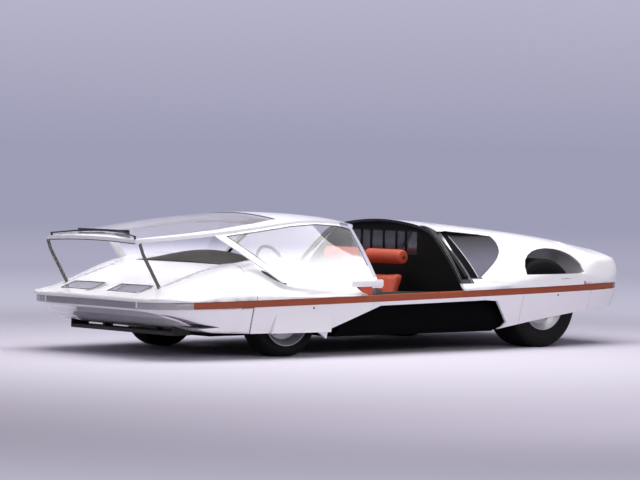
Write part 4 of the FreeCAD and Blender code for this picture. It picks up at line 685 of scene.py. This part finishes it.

# Underbody: a folded and welded tub painted satin black, round pods along its sides,
# suspension arms in black enamel, and the bare castings of engine and gearbox.
# These two blacks are darker than real paint: the parts' own black, deepened as painted shade for the
# shadow under the car.
shaded_satin_black = finish_of("shaded_satin_black", (0.003, 0.003, 0.0035), (0.006, 0.006, 0.0065), 0.5,
                        spread=0.15, cloud=4.0, grain=420.0, bump=0.12, Specular_IOR_Level=0.10)
pod_black = finish_of("pod_black", (0.0010, 0.0010, 0.0012), (0.0022, 0.0022, 0.0025), 0.6,
                      spread=0.12, cloud=3.0, grain=500.0, bump=0.08, Specular_IOR_Level=0.03)
black_enamel = finish_of("black_enamel", (0.03, 0.03, 0.032), (0.05, 0.05, 0.05), 0.32,
                         spread=0.15, cloud=12.0, grain=260.0, bump=0.08)
cast_alloy = finish_of("cast_alloy", (0.36, 0.355, 0.34), (0.24, 0.235, 0.225), 0.55,
                       spread=0.2, cloud=9.0, grain=380.0, bump=0.35, depth=0.001, Metallic=0.9)
olive_black = finish_of("olive_black", (0.010, 0.010, 0.007), (0.018, 0.018, 0.012), 0.42,
                        spread=0.12, cloud=6.0, grain=420.0, bump=0.12, Specular_IOR_Level=0.3)
dress(shaded_satin_black, "tub", "tail_panel", "bulkhead")
dress(pod_black, "side_pods")
dress(black_enamel, "front_suspension", "rear_suspension", "knuckle_left", "knuckle_right")
dress(cast_alloy, "engine_block")
dress(olive_black, "front_blade")

# Canopy glazing: one curved laminated screen and two side panes, lightly tinted.
# Each lies in a black rubber strip round its rim.
canopy_glass = glass_of("canopy_glass", (0.80, 0.785, 0.86))
side_pane = glass_of("side_pane", (0.90, 0.89, 0.94))
cabin_glass = glass_of("cabin_glass", (0.80, 0.80, 0.84))
# The side panes glow pale towards their foot: a painted reflection of the bright fender and the studio
# light.
REFLECTION_TOP, REFLECTION_FOOT, REFLECTION_TONE, REFLECTION_STRENGTH = 0.80, 0.60, (0.66, 0.65, 0.69, 1), 0.55
tree = side_pane.node_tree
painted_reflection = tree.nodes.new("ShaderNodeMix")
painted_reflection.data_type = "RGBA"
tree.links.new(eased_share(tree, place_along(tree, "Z"), REFLECTION_TOP, REFLECTION_FOOT), painted_reflection.inputs[0])
painted_reflection.inputs[6].default_value = (0, 0, 0, 1)
painted_reflection.inputs[7].default_value = REFLECTION_TONE
tree.links.new(painted_reflection.outputs[2], tree.nodes["Principled BSDF"].inputs["Emission Color"])
tree.nodes["Principled BSDF"].inputs["Emission Strength"].default_value = REFLECTION_STRENGTH
dress(canopy_glass, "windscreen")
dress(side_pane, "side_glass")
dress(cabin_glass, "rear_window")
rubber_black = finish_of("rubber_black", (0.012, 0.012, 0.012), (0.02, 0.02, 0.02), 0.5,
                         spread=0.15, cloud=10.0, grain=400.0, bump=0.1)
dress(rubber_black, "wipers")
SEAL_WIDTH, REAR_SEAL_WIDTH, LAMP_SEAL_WIDTH = 0.007, 0.012, 0.004
SEAL_LIFT, SEAL_THICKNESS, SEAL_FACING, SIDE_SEAL_FOOT = 0.002, 0.003, 0.3, 0.64
TINY_EDGE = 0.0005


def edge_seal(name, node, width, outward, body="canopy", above=0.0):
    """A rubber strip round a pane: the border of its outer face, raised a little and thickened."""
    shape = merged_copy(node)
    wrong = [f for f in shape.faces if f.normal.dot(outward(f.calc_center_median())) < SEAL_FACING]
    bmesh.ops.delete(shape, geom=wrong, context="FACES")
    bmesh.ops.dissolve_degenerate(shape, dist=TINY_EDGE, edges=shape.edges[:])
    border = bmesh.ops.inset_region(shape, faces=shape.faces[:], use_boundary=True, use_even_offset=True,
                                    thickness=width)["faces"]
    keep = {f for f in border if f.calc_center_median().z > above}
    bmesh.ops.delete(shape, geom=[f for f in shape.faces if f not in keep], context="FACES")
    shape.normal_update()
    for vert in shape.verts:
        vert.co += vert.normal * SEAL_LIFT
    bmesh.ops.solidify(shape, geom=shape.faces[:], thickness=SEAL_THICKNESS)
    bmesh.ops.recalc_face_normals(shape, faces=shape.faces[:])
    return add_piece(name, shape, rubber_black, body)


edge_seal("windscreen_seal", "windscreen", SEAL_WIDTH, lambda c: Vector((0, 0, 1)))
edge_seal("side_seals", "side_glass", SEAL_WIDTH, lambda c: Vector((0, math.copysign(1, c.y), 0)),
          above=SIDE_SEAL_FOOT)
edge_seal("rear_window_seal", "rear_window", REAR_SEAL_WIDTH, lambda c: Vector((1, 0, 0)), "chassis")
edge_seal("lamp_seals", "lamp_covers", LAMP_SEAL_WIDTH, lambda c: Vector((0, 0, 1)), "chassis")

# Canopy trim: lavender-grey bands of painted shade on the frame's rear posts, a rubber seal under the
# header, a dark lining on the frame's inner side and the painted tails of its sills. All of it rides with
# the canopy.
# The bands' grey is painted shade laid over the white frame posts.
frame_shade_grey = finish_of("frame_shade_grey", (0.36, 0.355, 0.45), (0.31, 0.305, 0.39), 0.3, spread=0.08,
                       cloud=3.0, grain=260.0, bump=0.02, Coat_Weight=0.3)
BAND_FRONT, BAND_FOOT, BAND_INNER, BAND_LIFT, BAND_SHEET = 0.425, 0.555, 0.54, 0.0005, 0.001
for sign, hand in ((1, "left"), (-1, "right")):
    pressed_skin("frame_shade_band_" + hand, nodes["canopy_frame"], (
        behind(BAND_FRONT), over(BAND_FOOT), beyond(BAND_INNER, sign)), frame_shade_grey,
        "canopy", lift=BAND_LIFT, thickness=BAND_SHEET)

frame_skin = skin_of("canopy_frame")
HEADER_FACE, HEADER_HALF, HEADER_HEIGHT = 2.229, 0.50, 0.80
HEADER_DEEP, HEADER_SHEET, HEADER_GAP = 0.012, 0.007, 0.0005
BELOW_HEADER = 0.6


def header_point(u, v):
    """A place just under the header, found by looking up from below it."""
    x, y = HEADER_FACE - HEADER_DEEP * v, (u - 0.5) * 2 * HEADER_HALF
    spot = frame_skin.ray_cast(Vector((x, y, BELOW_HEADER)), Vector((0, 0, 1)))[0]
    return Vector((x, y, (spot.z if spot else HEADER_HEIGHT) - HEADER_GAP))


header_bm = bmesh.new()
bmesh.ops.create_grid(header_bm, x_segments=24, y_segments=1, size=0.5)
for vert in header_bm.verts:
    vert.co = header_point(vert.co.x + 0.5, vert.co.y + 0.5)
lower = bmesh.ops.extrude_face_region(header_bm, geom=header_bm.faces[:])["geom"]
bmesh.ops.translate(header_bm, verts=[v for v in lower if isinstance(v, bmesh.types.BMVert)],
                    vec=(0, 0, -HEADER_SHEET))
bmesh.ops.recalc_face_normals(header_bm, faces=header_bm.faces[:])
add_piece("header_seal", header_bm, rubber_black, "canopy")

SILL_REAR, SILL_FRONT, SILL_LOW, SILL_HIGH = 0.350, 0.640, 0.490, 0.534
SILL_INNER, SILL_OUTER, SILL_EASE = 0.948, 0.9615, 0.004
sill_bm = bmesh.new()
for sign in (1, -1):
    near, far = sorted((sign * SILL_INNER, sign * SILL_OUTER))
    box_in(sill_bm, (SILL_REAR, near, SILL_LOW), (SILL_FRONT, far, SILL_HIGH))
bmesh.ops.bevel(sill_bm, geom=sill_bm.edges[:], offset=SILL_EASE, segments=3, profile=0.5,
                affect="EDGES", material=-1)
add_piece("sill_tails", sill_bm, gloss_white, "canopy")

FRAME_LINING_FRONT, FRAME_LINING_LIFT = 0.47, 0.002
pressed_skin("frame_lining", nodes["canopy_frame"], (behind(FRAME_LINING_FRONT),), olive_black,
             "canopy", lift=FRAME_LINING_LIFT, outward=False)

# Struts: flat steel stays, bent near their heads, that carry the open canopy's nose.
# Each turns on a pin in the hood, and its head stands under the canopy's header.
strut_grey = finish_of("strut_grey", (0.105, 0.10, 0.082), (0.13, 0.122, 0.10), 0.42, spread=0.1,
                       cloud=9.0, grain=300.0, bump=0.04, Metallic=0.4)
runner_steel = finish_of("runner_steel", (0.16, 0.16, 0.165), (0.10, 0.10, 0.10), 0.34,
                         spread=0.15, cloud=20.0, grain=300.0, bump=0.1, Metallic=0.9)
dress(strut_grey, "strut_left", "strut_right")
dress(runner_steel, "runners", "canopy_track")

# Cabin: a moulded dash covered in olive-black hide, and a steering wheel with a moulded grip.
# The orange hide of the seats is mixed here too.
dash_hide = finish_of("dash_hide", (0.010, 0.010, 0.005), (0.018, 0.018, 0.010), 0.6,
                      spread=0.15, cloud=5.0, grain=700.0, bump=0.3, depth=0.001)
wheel_grip = finish_of("wheel_grip", (0.045, 0.042, 0.055), (0.07, 0.065, 0.08), 0.42,
                       spread=0.15, cloud=14.0, grain=600.0, bump=0.25)
orange_hide = finish_of("orange_hide", (0.50, 0.072, 0.030), (0.37, 0.045, 0.018), 0.42,
                        spread=0.2, cloud=7.0, grain=650.0, bump=0.35, depth=0.001)
dress(dash_hide, "dash")
dress(wheel_grip, "steering_wheel")

# Seats: two cushions and a bolster for each place, cut foam under stitched orange hide.
# Each cover starts a little small, is swelled by its filling, and is sewn into channels.
PAD_VOXEL, PAD_PRESSURE, PAD_FRAMES = 0.007, 4.0, 20
SEAT_MIDDLE, SEAT_HALF = 0.236, 0.203
CUSHION_DEPTH, BACK_DEPTH, BACK_RAKE = 0.112, 0.100, 0.145
HIP_X, CUSHION_FRONT, CUSHION_FOOT, BACK_HEAD = -0.112, 0.392, 0.166, 0.556
ROLL_X, ROLL_Z, ROLL_RADIUS, ROLL_HALF = -0.305, 0.672, 0.055, 0.196
CUSHION_SWELL, ROLL_SWELL = 0.012, 0.008
FOAM_EASE, ROLL_EASE, FOAM_INSET = 0.028, 0.016, 0.01
BACK_LOW, BACK_FRONT = 0.03, 0.012
SEAT_CHANNEL, SEAT_PITCH = 0.12, 0.13
BACK_CHANNEL, BACK_PITCH = 0.068, 0.136
PAD_FILL, RIM_ANGLE = 0.75, 1.0


def swell(shape, name, cap):
    """Swell a closed cover with its filling: cloth under pressure, held to a few millimetres."""
    mesh = bpy.data.meshes.new(name + "_cover")
    shape.to_mesh(mesh)
    shape.free()
    piece = bpy.data.objects.new(name + "_cover", mesh)
    bpy.context.scene.collection.objects.link(piece)
    remesh = piece.modifiers.new("remesh", "REMESH")
    remesh.mode = "VOXEL"
    remesh.voxel_size = PAD_VOXEL
    graph = bpy.context.evaluated_depsgraph_get()
    piece.data = bpy.data.meshes.new_from_object(piece.evaluated_get(graph))
    piece.modifiers.clear()
    start = [vert.co.copy() for vert in piece.data.vertices]
    cloth = piece.modifiers.new("cloth", "CLOTH")
    cloth.settings.use_pressure = True
    cloth.settings.uniform_pressure_force = PAD_PRESSURE
    cloth.settings.effector_weights.gravity = 0
    for number in range(1, PAD_FRAMES + 1):
        bpy.context.scene.frame_set(number)
    graph = bpy.context.evaluated_depsgraph_get()
    swollen = bpy.data.meshes.new_from_object(piece.evaluated_get(graph))
    piece.modifiers.clear()
    piece.data = swollen
    bpy.context.scene.frame_set(1)
    for vert, place in zip(piece.data.vertices, start):
        moved = vert.co - place
        if moved.length > cap:
            vert.co = place + moved * (cap / moved.length)
    result = bmesh.new()
    result.from_mesh(piece.data)
    bpy.data.objects.remove(piece)
    return result


def sewn(shape, across, first, pitch, count, depth=0.006, width=0.008):
    """Press sewn channels into a cushion: lines at even steps along one direction."""
    shape.normal_update()
    for vert in shape.verts:
        along = vert.co.dot(across)
        for number in range(count):
            gap = along - (first + number * pitch)
            vert.co -= vert.normal * depth * math.exp(-(gap / width) ** 2)


def cushion_block(low, high, rake=0.0):
    """A foam block with softened edges; rake leans its top back."""
    shape = bmesh.new()
    box_in(shape, low, high)
    bmesh.ops.bevel(shape, geom=shape.edges[:], offset=FOAM_EASE, segments=3, profile=0.5, affect="EDGES",
                    material=-1)
    for vert in shape.verts:
        vert.co.x -= rake * (vert.co.z - low[2]) / (high[2] - low[2])
    return shape


def padded_piece(name, shapes, cover, slot, *replaced):
    """Join the swelled covers into one padded piece with a final smooth subdivision."""
    whole = bmesh.new()
    for shape in shapes:
        part = bpy.data.meshes.new("part")
        shape.to_mesh(part)
        shape.free()
        whole.from_mesh(part)
    piece = add_piece(name, whole, cover, "chassis")
    finish = piece.modifiers.new("finish", "SUBSURF")
    finish.levels = 1
    finish.render_levels = 1
    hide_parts(*replaced)
    return piece


for sign, hand in ((1, "left"), (-1, "right")):
    inner, outer = sorted((sign * (SEAT_MIDDLE - SEAT_HALF), sign * (SEAT_MIDDLE + SEAT_HALF)))
    cushion = swell(cushion_block(
        (HIP_X + FOAM_INSET, inner, CUSHION_FOOT),
        (CUSHION_FRONT, outer, CUSHION_FOOT + CUSHION_DEPTH - CUSHION_SWELL)), "cushion", CUSHION_SWELL)
    sewn(cushion, Vector((1, 0, 0)), HIP_X + SEAT_CHANNEL, SEAT_PITCH, 3)
    back = swell(cushion_block(
        (HIP_X - BACK_DEPTH + BACK_LOW, inner, CUSHION_FOOT + BACK_LOW),
        (HIP_X + BACK_FRONT, outer, BACK_HEAD - FOAM_INSET), BACK_RAKE), "back", CUSHION_SWELL)
    sewn(back, Vector((0, 1, 0)), sign * SEAT_MIDDLE - BACK_CHANNEL, BACK_PITCH, 2)
    padded_piece("cushions_" + hand, (cushion, back), orange_hide, "seat_leather", "seat_" + hand)
    bolster = bmesh.new()
    turned = Matrix.Translation((ROLL_X, sign * SEAT_MIDDLE, ROLL_Z)) @ Matrix.Rotation(
        math.pi / 2, 4, "X")
    bmesh.ops.create_cone(bolster, cap_ends=True, segments=32, radius1=ROLL_RADIUS, radius2=ROLL_RADIUS,
                          depth=2 * ROLL_HALF, matrix=turned)
    rims = [e for e in bolster.edges if len(e.link_faces) == 2 and e.calc_face_angle(0) > RIM_ANGLE]
    bmesh.ops.bevel(bolster, geom=rims, offset=ROLL_EASE, segments=3, profile=0.5, affect="EDGES",
                    material=-1)
    roll = swell(bolster, "roll", ROLL_SWELL)
    padded_piece("bolster_" + hand, (roll,), orange_hide, "seat_leather", "headrest_" + hand)

# Bolster ends: each roll is drawn in by a covered button at both ends.
# The button is a turned disc with an eased rim, sewn through the roll.
BUTTON_RADIUS, BUTTON_DEPTH, BUTTON_EASE = 0.011, 0.012, 0.003
buttons_bm = bmesh.new()
for sign in (1, -1):
    for end in (1, -1):
        spot = Matrix.Translation((ROLL_X, sign * SEAT_MIDDLE + end * (ROLL_HALF + ROLL_SWELL), ROLL_Z))
        bmesh.ops.create_cone(buttons_bm, cap_ends=True, segments=20, radius1=BUTTON_RADIUS,
                              radius2=BUTTON_RADIUS, depth=BUTTON_DEPTH,
                              matrix=spot @ Matrix.Rotation(math.pi / 2, 4, "X"))
rims = [e for e in buttons_bm.edges if e.calc_face_angle(0) > RIM_ANGLE]
bmesh.ops.bevel(buttons_bm, geom=rims, offset=BUTTON_EASE, segments=2, profile=0.5, affect="EDGES",
                material=-1)
add_piece("bolster_buttons", buttons_bm, rubber_black, "chassis")

# Rear window bars: thin painted bars stand behind the small window between cabin and engine.
# They divide it into six narrow lights.
BAR_PLACES = (-0.252, -0.144, 0.0, 0.144, 0.252)
BAR_HALF, BAR_DEPTH, BAR_GAP = 0.009, 0.006, 0.0005
window_low, window_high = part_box("rear_window")
bars_bm = bmesh.new()
for place in BAR_PLACES:
    box_in(bars_bm, (window_high.x + BAR_GAP, place - BAR_HALF, window_low.z),
           (window_high.x + BAR_DEPTH, place + BAR_HALF, window_high.z))
add_piece("window_bars", bars_bm, shaded_satin_black, "chassis")

# Side scoops and tail: pressed liners in grey, painted darker towards the top as shade under the scoop's
# lip, and bright steel pipes.
LIP_SHADE_FROM, LIP_SHADE_TO, LIP_SHADE_TONE = 0.60, 0.86, (0.004, 0.004, 0.005, 1)
scoop_grey = finish_of("scoop_grey", (0.125, 0.122, 0.172), (0.10, 0.098, 0.14), 0.5,
                       spread=0.1, cloud=3.0, grain=300.0, bump=0.05, Specular_IOR_Level=0.2)
# Higher up, the liner's grey passes to near black: painted shade under the scoop's lip.
tree = scoop_grey.node_tree
lip_shade = tree.nodes.new("ShaderNodeMix")
lip_shade.data_type = "RGBA"
tree.links.new(eased_share(tree, place_along(tree, "Z"), LIP_SHADE_FROM, LIP_SHADE_TO), lip_shade.inputs[0])
tree.links.new(tree.nodes["grain"].outputs["Colour"], lip_shade.inputs[6])
lip_shade.inputs[7].default_value = LIP_SHADE_TONE
tree.links.new(lip_shade.outputs[2], tree.nodes["Principled BSDF"].inputs["Base Color"])
pipe_steel = finish_of("pipe_steel", (0.50, 0.49, 0.47), (0.38, 0.36, 0.33), 0.28, spread=0.2,
                       cloud=16.0, grain=300.0, bump=0.1, Metallic=1.0)
dress(scoop_grey, "scoop_liners")
dress(pipe_steel, "tail_pipes")

# Skirt screws: one dark screw holds each corner skirt to the tub.
# Each head is a low turned cone, set square to the skirt.
SCREW_PLACES = (("front_skirts", 1.000, 0.350), ("rear_skirts", -1.371, 0.395))
SCREW_FOOT, SCREW_TOP, SCREW_HEIGHT = 0.008, 0.006, 0.006
screws_bm = bmesh.new()
for node, x, z in SCREW_PLACES:
    spot, facing = skin_of(node).ray_cast(Vector((x, OUTSIDE, z)), Vector((0, -1, 0)))[:2]
    for sign in (1, -1):
        place = Vector((spot.x, sign * spot.y, spot.z))
        lean = Vector((facing.x, sign * facing.y, facing.z)).to_track_quat("Z", "Y").to_matrix().to_4x4()
        bmesh.ops.create_cone(screws_bm, cap_ends=True, segments=20, radius1=SCREW_FOOT, radius2=SCREW_TOP,
                              depth=SCREW_HEIGHT, matrix=Matrix.Translation(place) @ lean)
bmesh.ops.recalc_face_normals(screws_bm, faces=screws_bm.faces[:])
add_piece("skirt_screws", screws_bm, shaded_satin_black, "chassis")

# Deck vents: a black screen under each of the deck's twenty-four round holes.
# Each is a pressed disc with three slats, laid along the deck's slope and held under it.
VENT_FIRST, VENT_PITCH, VENT_COUNT = -0.70, 0.165, 6
VENT_LINES = (-0.285, -0.095, 0.095, 0.285)
VENT_RADIUS, VENT_DEEP, VENT_REACH, SCREEN_SHEET = 0.0435, 0.010, 0.06, 0.004
SLAT_STEPS, SLAT_LIFT, SLAT_SIZE = (-0.022, 0.0, 0.022), 0.003, (0.004, 0.07, 0.006, 1)
screens_bm = bmesh.new()
for number in range(VENT_COUNT):
    x = VENT_FIRST - VENT_PITCH * number
    for y in VENT_LINES:
        ahead_top = rear_skin.ray_cast(Vector((x + VENT_REACH, y, OUTSIDE)), Vector((0, 0, -1)))[0]
        behind_top = rear_skin.ray_cast(Vector((x - VENT_REACH, y, OUTSIDE)), Vector((0, 0, -1)))[0]
        if ahead_top is None or behind_top is None:
            continue
        slope = math.atan2(ahead_top.z - behind_top.z, 2 * VENT_REACH)
        spot = Matrix.Translation((x, y, (ahead_top.z + behind_top.z) / 2 - VENT_DEEP))
        turned = spot @ Matrix.Rotation(-slope, 4, "Y")
        bmesh.ops.create_cone(screens_bm, cap_ends=True, segments=28, radius1=VENT_RADIUS,
                              radius2=VENT_RADIUS, depth=SCREEN_SHEET, matrix=turned)
        for step in SLAT_STEPS:
            slat = turned @ Matrix.Translation((step, 0, SLAT_LIFT)) @ Matrix.Diagonal(SLAT_SIZE)
            bmesh.ops.create_cube(screens_bm, size=1.0, matrix=slat)
add_piece("vent_screens", screens_bm, shaded_satin_black, "chassis")

# Air slots: a dark slot at the foot of each windscreen pillar, on the shoulder.
# Each is a thin tapered panel in dark olive that follows the shell.
SLOT_FRONT, SLOT_REAR = Vector((1.345, 0, 0.606)), Vector((1.175, 0, 0.520))
SLOT_HALF, SLOT_LEAST, SLOT_START, SLOT_SPAN, SLOT_SHEET = 0.016, 0.002, 0.12, 0.76, 0.004


def slot_point(u, v):
    """The slot is widest halfway along and narrow at both ends."""
    middle = SLOT_FRONT.lerp(SLOT_REAR, u)
    half = SLOT_HALF * math.sin(math.pi * (SLOT_START + SLOT_SPAN * u)) + SLOT_LEAST
    z = middle.z + (v - 0.5) * 2 * half
    return Vector((middle.x, half_width(nose_skin, middle.x, z) + SKIN_STAND, z))


laid_sheet("air_slots", slot_point, (12, 3), olive_black, thickness=SLOT_SHEET)

# Wheels: cast alloy rims, and tyres moulded in black rubber.
# Both are the imported pieces, dressed through their slots.
# The rubber is darker than real rubber: its own black, deepened as painted shade so the tyres merge with
# the shadow under the car.
tyre_rubber = finish_of("tyre_rubber", (0.003, 0.003, 0.0035), (0.006, 0.006, 0.0065), 0.56,
                        spread=0.15, cloud=12.0, grain=300.0, bump=0.15, Specular_IOR_Level=0.14)
rim_alloy = finish_of("rim_alloy", (0.50, 0.49, 0.52), (0.38, 0.37, 0.40), 0.32, spread=0.15,
                      cloud=14.0, grain=300.0, bump=0.08, Metallic=0.55)
for corner in ("front", "rear"):
    for hand in ("left", "right"):
        dress(tyre_rubber, corner + "_tyre_" + hand)
        dress(rim_alloy, corner + "_rim_" + hand)
